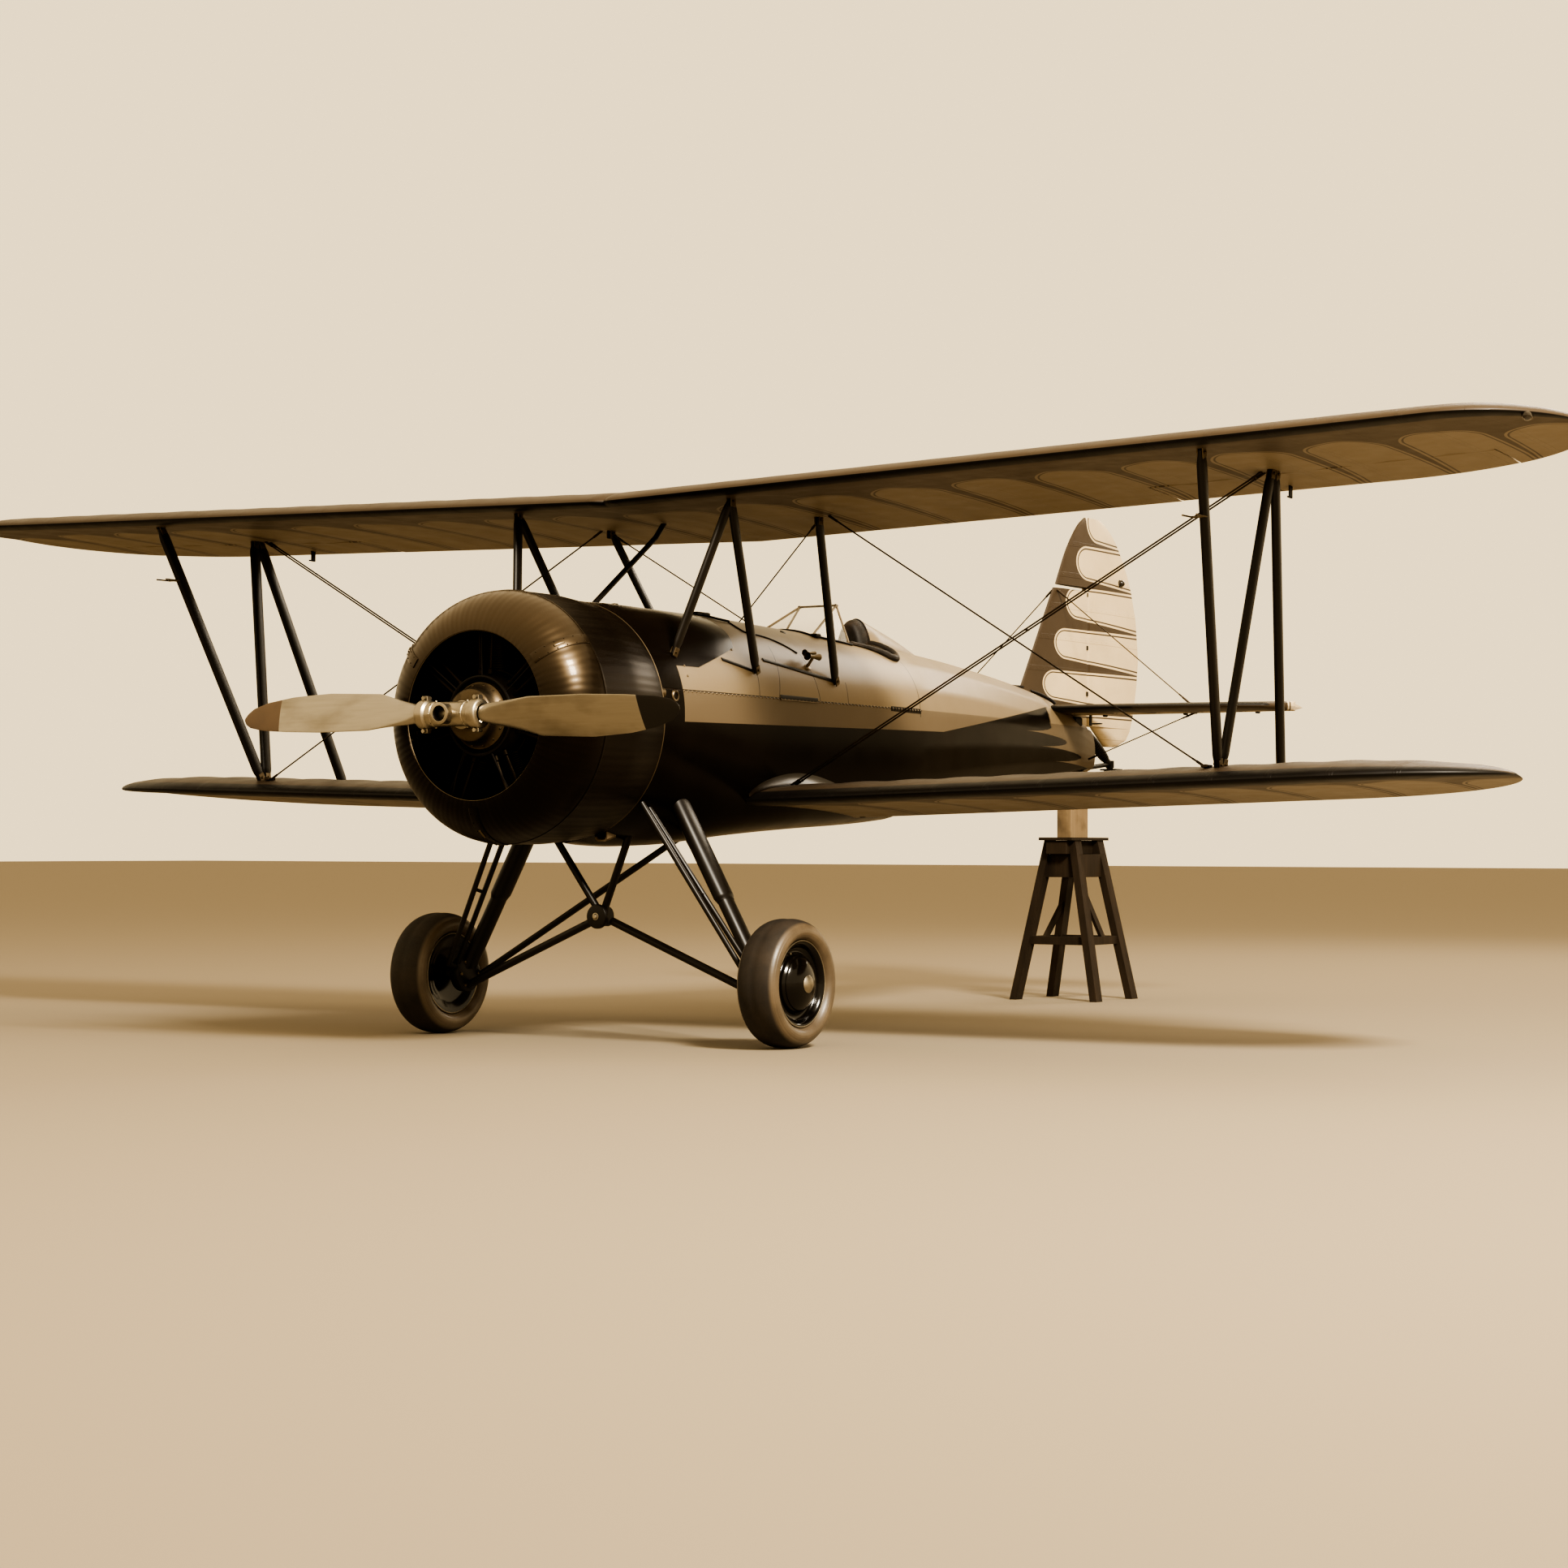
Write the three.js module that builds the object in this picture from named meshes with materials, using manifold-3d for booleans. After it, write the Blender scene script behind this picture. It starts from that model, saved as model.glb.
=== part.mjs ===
// A two-seat radial-engined biplane of the early 1930s, parked level with its tail on a trestle.
// Millimetres, +Z up, nose towards -Y, left wing towards +X.
// Stations along Y are counted from the main wheel axle; heights are counted from the ground.
import * as THREE from 'three';
import { mergeVertices } from 'three/addons/utils/BufferGeometryUtils.js';
import Module from 'manifold-3d';

const wasm = await Module();
wasm.setup();

// Driving dimensions

const SEAT_GAP = 0.3; // left between pieces that touch
const ORIGIN_Y = 2264; // the middle of the whole length, where the model's origin stands

const THRUST_Z = 1556; // height of the propeller shaft
const HUB_FRONT_Y = -1300;
const PROP_PLANE_Y = -1205;
const HUB_BACK_Y = 2 * PROP_PLANE_Y - HUB_FRONT_Y;
const PROP_RADIUS = 1274;
const HUB = {
  half: 180, barrel: 57, collar: 68, collarFrom: 128, collarTo: 176,
  boss: 47, bore: 33, boreDepth: 45, back: 66,
};

const COWL = {
  lipY: -1052, fullY: -815, straightY: -600, skirtY: -330,
  radius: 597, opening: 397, wall: 9, draw: 18, sides: 44,
};

const FUSELAGE_FRONT_Y = -380;
const PANEL_BREAK_Y = 20; // where the metal nose panels end and the main fuselage starts
const FUSELAGE_END_Y = 5123;

const UPPER = {
  rootY: -75, chord: 1450, rootZ: 2642, dihedral: 0.0268, halfSpan: 4720,
  frontRound: 4230, backRound: 3560, tipFront: 0.42, thickness: 0.07, camber: 0.035, incidence: 0.05,
};
const LOWER = {
  rootY: 551, chord: 1290, rootZ: 1170, dihedral: 0.0287, halfSpan: 4230,
  frontRound: 3400, backRound: 3130, tipFront: 0.39, thickness: 0.085, camber: 0.04, incidence: 0.055,
};
const TIP_LIFT = 0.012; // how far the chord line rises towards a tip, as a part of the root chord
const LOWER_ROOT_X = 240;
const FRONT_SPAR = 0.132;
const REAR_SPAR = 0.68;

const AILERON = { from: 2450, to: 4200, hinge: 0.76, nose: 25, gap: 11, end: 8, pin: 9 };

const HINGE_RUDDER_Y = 5094;
const RUDDER_FOOT_Z = 1705; // lower end of the rudder's hinge line
const HINGE_ELEVATOR_Y = 4980;
const TAILPLANE_Z = 1800;

const WHEEL_X = 1052;
const WHEEL_Z = 306;
const HUB_BACK = 60; // distance of the hub's inner face from the middle of the wheel
const WHEEL_SIDES = 36;
const TYRE = { inner: 192, outer: 306, width: 220, bead: 76 };

const TAIL_WHEEL = { y: 5480, z: 1335, radius: 100, width: 70, rim: 48, bead: 24, trail: 55, postTop: 122 };

const TRESTLE_Y = 4930;
const TRESTLE_TOP_Z = 1010;

// Materials

const paint = (color, roughness) => new THREE.MeshStandardMaterial({ color, roughness, metalness: 0 });
const metal = (color, roughness) => new THREE.MeshStandardMaterial({ color, roughness, metalness: 1 });
const MATERIAL = {
  dark: paint(0x16100b, 0.25),
  cream: paint(0xc9a877, 0.4),
  strut: paint(0x15100c, 0.35),
  polished: metal(0xcdb695, 0.3),
  steel: metal(0x8a7a66, 0.4),
  engine: metal(0x2c2620, 0.55),
  rubber: paint(0x2b231c, 0.8),
  rim: paint(0x120d0a, 0.3),
  wood: paint(0x3d2c1c, 0.75),
  leather: paint(0x1c130d, 0.6),
  glass: paint(0xe8e0d0, 0.05),
  interior: paint(0x4a3c2a, 0.7),
};

// Solids

function toSolid(geometry) {
  const bare = geometry.clone();
  bare.deleteAttribute('normal');
  if (bare.attributes.uv) bare.deleteAttribute('uv');
  const merged = mergeVertices(bare, 1e-4);
  return new wasm.Manifold(new wasm.Mesh({
    numProp: 3,
    vertProperties: new Float32Array(merged.attributes.position.array),
    triVerts: new Uint32Array(merged.index.array),
  }));
}

function toGeometry(solid) {
  const mesh = solid.getMesh();
  const geometry = new THREE.BufferGeometry();
  geometry.setAttribute('position', new THREE.BufferAttribute(new Float32Array(mesh.vertProperties), 3));
  geometry.setIndex(new THREE.BufferAttribute(new Uint32Array(mesh.triVerts), 1));
  geometry.computeVertexNormals();
  return geometry;
}

const join = (...geometries) => toGeometry(geometries.map(toSolid).reduce((all, next) => all.add(next)));
const cut = (geometry, ...tools) =>
  toGeometry(tools.map(toSolid).reduce((left, tool) => left.subtract(tool), toSolid(geometry)));
const common = (a, b) => toGeometry(toSolid(a).intersect(toSolid(b)));

function point(x, y, z) {
  return new THREE.Vector3(x, y, z);
}

// A closed skin over rings of equal count, with a flat cap fanned from the middle of each end ring
function loft(rings) {
  const count = rings[0].length;
  const positions = rings.flat().flatMap((p) => [p.x, p.y, p.z]);
  const index = [];
  for (let r = 0; r + 1 < rings.length; r += 1) {
    for (let i = 0; i < count; i += 1) {
      const a = r * count + i;
      const b = r * count + ((i + 1) % count);
      index.push(a, b, a + count, b, b + count, a + count);
    }
  }
  for (const [ring, base, flip] of [[rings[0], 0, false], [rings.at(-1), (rings.length - 1) * count, true]]) {
    const middle = ring.reduce((sum, p) => sum.add(p), point(0, 0, 0)).divideScalar(count);
    const centre = positions.length / 3;
    positions.push(middle.x, middle.y, middle.z);
    for (let i = 0; i < count; i += 1) {
      const a = base + i;
      const b = base + ((i + 1) % count);
      index.push(...(flip ? [a, b, centre] : [b, a, centre]));
    }
  }
  const geometry = new THREE.BufferGeometry();
  geometry.setAttribute('position', new THREE.BufferAttribute(new Float32Array(positions), 3));
  geometry.setIndex(volumeOf(positions, index) < 0 ? reversed(index) : index);
  geometry.computeVertexNormals();
  return geometry;
}

function volumeOf(positions, index) {
  let total = 0;
  const corner = (i) => point(positions[3 * i], positions[3 * i + 1], positions[3 * i + 2]);
  for (let t = 0; t < index.length; t += 3) {
    const [a, b, c] = [corner(index[t]), corner(index[t + 1]), corner(index[t + 2])];
    total += a.dot(b.cross(c));
  }
  return total;
}

function reversed(index) {
  const flipped = [...index];
  for (let t = 0; t < flipped.length; t += 3) [flipped[t], flipped[t + 1]] = [flipped[t + 1], flipped[t]];
  return flipped;
}

function box(low, high) {
  const size = [0, 1, 2].map((k) => high[k] - low[k]);
  const geometry = new THREE.BoxGeometry(...size);
  geometry.translate(...[0, 1, 2].map((k) => (low[k] + high[k]) / 2));
  return geometry;
}

// A bar with an elliptical or round section between two points; its wide side lies along `wide`
function bar(from, to, width, thickness, sides = 10, wide = point(0, 1, 0)) {
  const along = to.clone().sub(from).normalize();
  const across = wide.clone().addScaledVector(along, -wide.dot(along)).normalize();
  const side = along.clone().cross(across);
  const ring = (centre) => Array.from({ length: sides }, (_, i) => {
    const angle = (2 * Math.PI * i) / sides;
    return centre.clone()
      .addScaledVector(across, (Math.cos(angle) * width) / 2)
      .addScaledVector(side, (Math.sin(angle) * thickness) / 2);
  });
  return loft([ring(from), ring(to)]);
}

const rod = (from, to, radius, sides = 10, wide = point(0, 1, 0)) =>
  bar(from, to, 2 * radius, 2 * radius, sides, wide);

// A board with a rectangular section between two points; its width lies along `wide`
function plank(from, to, width, thickness, wide) {
  const along = to.clone().sub(from).normalize();
  const across = wide.clone().addScaledVector(along, -wide.dot(along)).normalize().multiplyScalar(width / 2);
  const side = along.clone().cross(across).normalize().multiplyScalar(thickness / 2);
  const corners = [[1, 1], [-1, 1], [-1, -1], [1, -1]];
  const ring = (centre) =>
    corners.map(([a, b]) => centre.clone().addScaledVector(across, a).addScaledVector(side, b));
  return loft([ring(from), ring(to)]);
}

// A round tube through points, with its rings square to the path
function tube(path, radius, sides = 10) {
  const rings = path.map((centre, k) => {
    const along = path[Math.min(k + 1, path.length - 1)].clone().sub(path[Math.max(k - 1, 0)]).normalize();
    const across = point(0, 0, 1).addScaledVector(along, -along.z).normalize();
    const side = along.clone().cross(across);
    return Array.from({ length: sides }, (_, i) => {
      const angle = (2 * Math.PI * i) / sides;
      return centre.clone()
        .addScaledVector(across, Math.cos(angle) * radius)
        .addScaledVector(side, Math.sin(angle) * radius);
    });
  });
  return loft(rings);
}

// A flat pane with the given corners and thickness
function pane(corners, thickness) {
  const normal = corners[1].clone().sub(corners[0]).cross(corners[2].clone().sub(corners[0])).normalize();
  const face = (shift) => corners.map((corner) => corner.clone().addScaledVector(normal, shift));
  return loft([face(-thickness / 2), face(thickness / 2)]);
}

function lathe(profile, segments) {
  return new THREE.LatheGeometry(profile.map(([r, y]) => new THREE.Vector2(r, y)), segments);
}

// Wings

// Four-digit section: upper and lower height at the part u of the chord, counted from the nose
function section(u, { thickness, camber }) {
  const camberAt = 0.4;
  const half = 5 * thickness
    * (0.2969 * Math.sqrt(u) - 0.126 * u - 0.3516 * u ** 2 + 0.2843 * u ** 3 - 0.1015 * u ** 4);
  const mean = u < camberAt
    ? (camber / camberAt ** 2) * (2 * camberAt * u - u * u)
    : (camber / (1 - camberAt) ** 2) * (1 - 2 * camberAt + 2 * camberAt * u - u * u);
  return [mean + half, mean - half];
}

// How far a rounded tip has drawn in at the part s of its length
const roundIn = (s) => 1 - Math.sqrt(Math.max(0, 1 - s * s));

// Nose station, chord, height and thickness share of a wing at the distance x from the middle
function wingAt(wing, x) {
  const frontPart = Math.max(0, x - wing.frontRound) / (wing.halfSpan - wing.frontRound);
  const backPart = Math.max(0, x - wing.backRound) / (wing.halfSpan - wing.backRound);
  const nose = wing.rootY + wing.tipFront * wing.chord * roundIn(frontPart);
  const tail = wing.rootY + wing.chord - (1 - wing.tipFront) * wing.chord * roundIn(backPart);
  const chord = tail - nose;
  const share = chord / wing.chord;
  const rise = wing.dihedral * x + wing.incidence * (wing.rootY - nose);
  return { nose, chord, share, z: wing.rootZ + rise + (1 - share) * TIP_LIFT * wing.chord };
}

const SECTION_STEPS = 9;

function wingRing(wing, x, side, grow) {
  const at = wingAt(wing, x);
  const ring = [];
  const place = (u, w, sign) => ring.push(point(
    side * x,
    at.nose + u * at.chord + (u < 0.02 ? -grow : 0) + (u > 0.98 ? grow : 0),
    at.z + w * at.chord - u * at.chord * wing.incidence + sign * grow,
  ));
  const part = (i) => (1 - Math.cos((Math.PI * i) / SECTION_STEPS)) / 2;
  for (let i = SECTION_STEPS; i >= 0; i -= 1) place(part(i), section(part(i), wing)[0], i === 0 ? 0 : 1);
  for (let i = 1; i <= SECTION_STEPS; i += 1) place(part(i), section(part(i), wing)[1], -1);
  return ring;
}

function wingStations(wing, fromX) {
  const tipParts = [0, 0.35, 0.6, 0.78, 0.9, 0.97, 0.995];
  const tip = tipParts.map((s) => wing.backRound + s * (wing.halfSpan - wing.backRound));
  return [fromX, ...tip];
}

const wingSolid = (wing, fromX, side, grow = 0) =>
  loft(wingStations(wing, fromX).map((x) => wingRing(wing, x, side, grow)));

// Height of the wing's upper or lower skin at a part of its chord
function skinZ(wing, x, u, upper) {
  const at = wingAt(wing, x);
  return at.z + section(u, wing)[upper ? 0 : 1] * at.chord - u * at.chord * wing.incidence;
}

const sparY = (wing, u) => wing.rootY + u * wing.chord;

function onSkin(wing, x, u, upper, side, sink = 0) {
  return point(side * x, sparY(wing, u), skinZ(wing, x, u, upper) + (upper ? -sink : sink));
}

// The aileron's hinge line runs through the middle of the wing's thickness
function hingePoint(x, side) {
  const u = AILERON.hinge;
  return point(side * x, sparY(UPPER, u), (skinZ(UPPER, x, u, true) + skinZ(UPPER, x, u, false)) / 2);
}

// A point of the straight hinge line
function onHinge(x, side) {
  const part = (x - AILERON.from) / (AILERON.to - AILERON.from);
  return hingePoint(AILERON.from, side).lerp(hingePoint(AILERON.to, side), part);
}

function aileronBox(side, trim) {
  const [x0, x1] = [AILERON.from + trim, AILERON.to - trim];
  const y = sparY(UPPER, AILERON.hinge);
  return box([Math.min(side * x0, side * x1), y, 2500], [Math.max(side * x0, side * x1), y + 600, 3000]);
}

function aileronNose(side, trim, radius) {
  return rod(onHinge(AILERON.from + trim, side), onHinge(AILERON.to - trim, side), radius, 20);
}

function upperWing(side) {
  const whole = wingSolid(UPPER, SEAT_GAP / 2, side);
  const cove = AILERON.nose + AILERON.gap;
  const open = cut(whole, aileronBox(side, 0), aileronNose(side, 0, cove));
  const reach = AILERON.end - SEAT_GAP;
  const pin = (from, to) => rod(onHinge(from, side), onHinge(to, side), AILERON.pin, 10);
  const inner = pin(AILERON.from - 30, AILERON.from + reach);
  return join(open, inner, pin(AILERON.to - reach, AILERON.to + 30));
}

function aileron(side) {
  const flap = common(wingSolid(UPPER, SEAT_GAP / 2, side), aileronBox(side, AILERON.end));
  return join(flap, aileronNose(side, AILERON.end, AILERON.nose));
}

// Fuselage

// station Y, half width, top Z, bottom Z, height of the widest line, roundness of the top and of the bottom
const FUSELAGE = [
  [-380, 562, 2130, 980, 1556, 2.0, 2.0],
  [-180, 556, 2140, 955, 1580, 2.0, 2.2],
  [PANEL_BREAK_Y, 545, 2140, 950, 1610, 2.0, 2.4],
  [300, 530, 2135, 960, 1650, 2.1, 2.8],
  [800, 505, 2127, 1003, 1680, 2.1, 3.2],
  [1300, 480, 2110, 1035, 1690, 2.1, 3.4],
  [2300, 425, 2080, 1090, 1690, 2.1, 3.4],
  [3200, 330, 2020, 1195, 1685, 2.1, 3.2],
  [4218, 185, 1910, 1320, 1650, 2.1, 3.0],
  [4800, 105, 1790, 1392, 1600, 2.1, 3.0],
  [FUSELAGE_END_Y, 50, 1693, 1431, 1560, 2.1, 3.0],
];
const RING_SIDES = 32;

function fuselageAt(y) {
  const k = Math.max(1, FUSELAGE.findIndex((row) => row[0] >= y));
  const [a, b] = [FUSELAGE[k - 1], FUSELAGE[k]];
  const t = (y - a[0]) / (b[0] - a[0]);
  return a.map((value, i) => value + t * (b[i] - value));
}

function fuselageRing(y, grow) {
  const [, halfWidth, top, bottom, middle, roundTop, roundBottom] = fuselageAt(y);
  return Array.from({ length: RING_SIDES }, (_, i) => {
    const angle = (2 * Math.PI * i) / RING_SIDES;
    const [c, s] = [Math.cos(angle), Math.sin(angle)];
    const power = 2 / (s > 0 ? roundTop : roundBottom);
    const height = s > 0 ? top - middle : middle - bottom;
    return point(
      Math.sign(c) * (halfWidth + grow) * Math.abs(c) ** power,
      y,
      middle + Math.sign(s) * (height + grow) * Math.abs(s) ** power,
    );
  });
}

function fuselageSolid(fromY, toY, grow = 0) {
  const inside = FUSELAGE.map((row) => row[0]).filter((y) => y > fromY && y < toY);
  return loft([fromY, ...inside, toY].map((y) => fuselageRing(y, grow)));
}

// Height of the deck above the widest line, at a distance from the middle
function deckZ(x, y) {
  const [, halfWidth, top, , middle, roundTop] = fuselageAt(y);
  return middle + (top - middle) * (1 - Math.abs(x / halfWidth) ** roundTop) ** (1 / roundTop);
}

const COCKPIT = { front: 1720, back: 2290, half: 225, floor: 1330 };

function cockpitHollow() {
  return box([-COCKPIT.half, COCKPIT.front, COCKPIT.floor], [COCKPIT.half, COCKPIT.back, 2400]);
}

const STERN_STEP_Z = 1690; // below this the fuselage runs on behind the rudder's hinge line
const STERN_PIN = 12; // radius of the rudder's lower hinge pin

function fuselageMain() {
  const hinge = (z) => point(0, HINGE_RUDDER_Y, z);
  const sternNotch = box([-80, HINGE_RUDDER_Y, STERN_STEP_Z], [80, 5300, 1900]);
  const sternCove = rod(hinge(STERN_STEP_Z), hinge(1900), RUDDER_COVE, 20);
  const pin = rod(hinge(STERN_STEP_Z - 20), hinge(RUDDER_FOOT_Z - SEAT_GAP), STERN_PIN, 14);
  const hull = cut(
    fuselageSolid(PANEL_BREAK_Y + SEAT_GAP, FUSELAGE_END_Y),
    cockpitHollow(),
    sternNotch,
    sternCove,
    grownTailplane(),
  );
  return join(hull, pin);
}

// The air scoop low on the left side, behind the cowl: Y, inner and outer X, bottom and top Z
const SCOOP = [[-322, 160, 232, 972, 1080], [-205, 172, 224, 992, 1080]];

function fuselageNose() {
  const scoop = loft(SCOOP.map(([y, inner, outer, low, high]) =>
    [point(inner, y, low), point(outer, y, low), point(outer, y, high), point(inner, y, high)]));
  return cut(join(fuselageSolid(FUSELAGE_FRONT_Y, PANEL_BREAK_Y), scoop), exhaustBody(SEAT_GAP));
}

const grownFuselage = () => fuselageSolid(FUSELAGE_FRONT_Y, FUSELAGE_END_Y, SEAT_GAP);

const lowerWing = (side) => cut(wingSolid(LOWER, LOWER_ROOT_X, side), grownFuselage());

// Struts: each is made a little long and cut back to the skins that it meets

const grownUpper = (side) => wingSolid(UPPER, 0, side, SEAT_GAP);
const grownLower = (side) => wingSolid(LOWER, LOWER_ROOT_X, side, SEAT_GAP);

const STRUT_UPPER_X = 3143;
const STRUT_LOWER_X = 2943;
const STRUT_WIDTH = 78;
const STRUT_THICKNESS = 34;
const SINK = 20;

function interplaneEnds(side) {
  return {
    upperFront: onSkin(UPPER, STRUT_UPPER_X, FRONT_SPAR, false, side, SINK),
    upperRear: onSkin(UPPER, STRUT_UPPER_X, REAR_SPAR, false, side, SINK),
    lowerFront: onSkin(LOWER, STRUT_LOWER_X, FRONT_SPAR, true, side, SINK),
    lowerRear: onSkin(LOWER, STRUT_LOWER_X, REAR_SPAR, true, side, SINK),
  };
}

// The diagonal ends against the front strut below and against the rear strut above
function interplaneStrut(side, place) {
  const ends = interplaneEnds(side);
  const strut = (from, to, grow = 0) => bar(from, to, STRUT_WIDTH + 2 * grow, STRUT_THICKNESS + 2 * grow);
  const front = (grow) => strut(ends.lowerFront, ends.upperFront, grow);
  const rear = (grow) => strut(ends.lowerRear, ends.upperRear, grow);
  const skins = [grownUpper(side), grownLower(side)];
  if (place === 'front') return cut(front(0), ...skins);
  if (place === 'rear') return cut(rear(0), ...skins);
  return cut(strut(ends.lowerFront, ends.upperRear), ...skins, front(SEAT_GAP), rear(SEAT_GAP));
}

const CABANE_TOP_X = 650;

// feet on the fuselage as X, Y, Z, and the part of the upper wing's chord at the top
const CABANE = {
  front: { feet: [[476, -115, 1874], [507, 560, 1820]], spar: FRONT_SPAR },
  rear: { feet: [[466, 1370, 1802]], spar: REAR_SPAR },
};
const CABANE_WIDTH = 62;
const CABANE_THICKNESS = 28;
const CABANE_SINK = 0.06; // each leg runs on into the fuselage by this part of its length

function cabaneStrut(side, place) {
  const { feet, spar } = CABANE[place];
  const top = onSkin(UPPER, CABANE_TOP_X, spar, false, side, SINK);
  const legs = feet.map(([x, y, z]) => {
    const foot = top.clone().lerp(point(side * x, y, z), 1 + CABANE_SINK);
    return bar(foot, top, CABANE_WIDTH, CABANE_THICKNESS);
  });
  const whole = legs.length > 1 ? join(...legs) : legs[0];
  return cut(whole, grownUpper(side), grownFuselage());
}

// A thin pipe leads down from the tank in the wing to the deck
const FUEL_PIPE = { x: -170, path: [[741, 2640], [641, 2533], [96, 2146], [40, 2104]], radius: 14 };

function fuelPipe() {
  const path = FUEL_PIPE.path.map(([y, z]) => point(FUEL_PIPE.x, y, z));
  return cut(tube(path, FUEL_PIPE.radius), grownUpper(-1), grownFuselage());
}

// Landing gear

const APEX = point(0, -40, 608);
const APEX_RADIUS = 48;
const PLATE = { x: 897, y: 10, half: 28, radius: 92 }; // the back plate at the foot of each leg

function gearPlate(side, grow) {
  const radius = PLATE.radius + grow;
  const plate = new THREE.CylinderGeometry(radius, radius, 2 * (PLATE.half + grow), 28);
  plate.rotateZ(Math.PI / 2);
  plate.translate(side * PLATE.x, PLATE.y, WHEEL_Z);
  return plate;
}

const LEG = {
  foot: [885, 30, 346], head: [400, 20, 1200], sleeve: 0.403, // the sleeve starts at this part of the way up
  width: 112, thickness: 62, sleeveWidth: 140, sleeveThickness: 74, stub: 34,
};

// The leg, its back plate and the stub axle that carries the wheel are one piece
function gearLeg(side) {
  const foot = point(side * LEG.foot[0], LEG.foot[1], LEG.foot[2]);
  const head = point(side * LEG.head[0], LEG.head[1], LEG.head[2]);
  const stub = rod(
    point(side * PLATE.x, 0, WHEEL_Z),
    point(side * (WHEEL_X - HUB_BACK - SEAT_GAP), 0, WHEEL_Z),
    LEG.stub,
    16,
  );
  const leg = bar(foot, head, LEG.width, LEG.thickness, 14);
  const sleeve = bar(foot.clone().lerp(head, LEG.sleeve), head, LEG.sleeveWidth, LEG.sleeveThickness, 14);
  return cut(join(leg, sleeve, gearPlate(side, 0), stub), grownFuselage());
}

// Two tubes side by side, as X, Y, Z of the foot and of the head
const TWIN_TUBES = [
  [893, -128, 360, 355, -310, 1260],
  [898, -56, 350, 344, -233, 1230],
];
const TUBE_RADIUS = 14;
const TUBE_LUG = [897, -50, 335]; // where the front tube's foot is led back to the plate
const TUBE_LINK = 0.42; // the tubes are tied at this part of the way up

function gearFrontStrut(side) {
  const [front, rear] = TWIN_TUBES.map(([x, y, z, headX, headY, headZ]) =>
    [point(side * x, y, z), point(side * headX, headY, headZ)]);
  const up = point(0, 0, 1);
  const lug = rod(front[0], point(side * TUBE_LUG[0], TUBE_LUG[1], TUBE_LUG[2]), TUBE_RADIUS + 2, 10, up);
  const tie = [front, rear].map(([foot, head]) => foot.clone().lerp(head, TUBE_LINK));
  const tubes = join(rod(...front, TUBE_RADIUS), rod(...rear, TUBE_RADIUS), lug, rod(...tie, 9, 8, up));
  return cut(tubes, grownFuselage(), gearPlate(side, SEAT_GAP));
}

// foot and head on the left side, both run on into the pieces that they meet
const DRAG_STRUT = { foot: [903, 78, 270], head: [-6, 677, 1022], width: 42, thickness: 32 };

function gearDragStrut(side) {
  const { foot, head, width, thickness } = DRAG_STRUT;
  const place = ([x, y, z]) => point(side * x, y, z);
  return cut(bar(place(foot), place(head), width, thickness), grownFuselage(), gearPlate(side, SEAT_GAP));
}

function gearAxle(side) {
  const inner = APEX.clone().add(point(side * (APEX_RADIUS + 6), 6, -22));
  const outer = point(side * 885, 10, 245);
  return cut(bar(outer, inner, 40, 40, 12), gearPlate(side, SEAT_GAP));
}

function gearApex() {
  const block = new THREE.CylinderGeometry(APEX_RADIUS, APEX_RADIUS, 74, 16);
  block.rotateZ(Math.PI / 2);
  block.translate(APEX.x, APEX.y, APEX.z);
  const legs = [-1, 1].map((side) => bar(APEX, point(side * 300, -160, 1130), 44, 34));
  return cut(join(block, ...legs), grownFuselage());
}

function wheelHub(side) {
  const width = TYRE.width / 2;
  const seat = TYRE.inner - SEAT_GAP;
  const [bead, flange] = [TYRE.bead + SEAT_GAP, TYRE.inner + 13];
  const profile = [
    [0, -HUB_BACK], [120, -HUB_BACK], [176, -bead - 8], [flange, -bead - 8], [flange, -bead], [seat, -bead],
    [seat, bead], [flange, bead], [flange, bead + 8], [172, bead + 8], [128, 52], [70, 60],
    [62, width + 6], [44, width + 22], [0, width + 26],
  ];
  const hub = lathe(profile, WHEEL_SIDES);
  hub.rotateZ(-Math.PI / 2);
  if (side < 0) hub.rotateZ(Math.PI);
  return hub;
}

// Flat beads inside, then one rounded section out to the tread
function tyre({ inner, outer, width, bead }, segments) {
  const steps = 10;
  const middle = inner + 0.47 * (outer - inner);
  const lip = inner + 0.12 * (outer - inner);
  const profile = [[inner, -bead], [lip, -bead]];
  for (let i = 0; i <= steps; i += 1) {
    const angle = THREE.MathUtils.degToRad(-125 + (250 * i) / steps);
    const lean = Math.sign(Math.sin(angle)) * Math.abs(Math.sin(angle)) ** 0.8;
    const rise = Math.cos(angle) > 0 ? outer - middle : middle - inner;
    profile.push([middle + rise * Math.cos(angle), (width / 2) * lean]);
  }
  profile.push([lip, bead], [inner, bead], [inner, -bead]);
  const geometry = lathe(profile, segments);
  geometry.rotateZ(-Math.PI / 2);
  return geometry;
}

// Tail

function thinRing(z, front, back, thickness, along) {
  const steps = 7;
  const ring = [];
  const put = (u, h) => ring.push(along(z, front + u * (back - front), h));
  const part = (i) => (1 - Math.cos((Math.PI * i) / steps)) / 2;
  const height = (u) => section(u, { thickness: thickness / (back - front), camber: 0 })[0] * (back - front);
  for (let i = steps; i >= 0; i -= 1) put(part(i), height(part(i)));
  for (let i = 1; i <= steps; i += 1) put(part(i), -height(part(i)));
  return ring;
}

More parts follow.
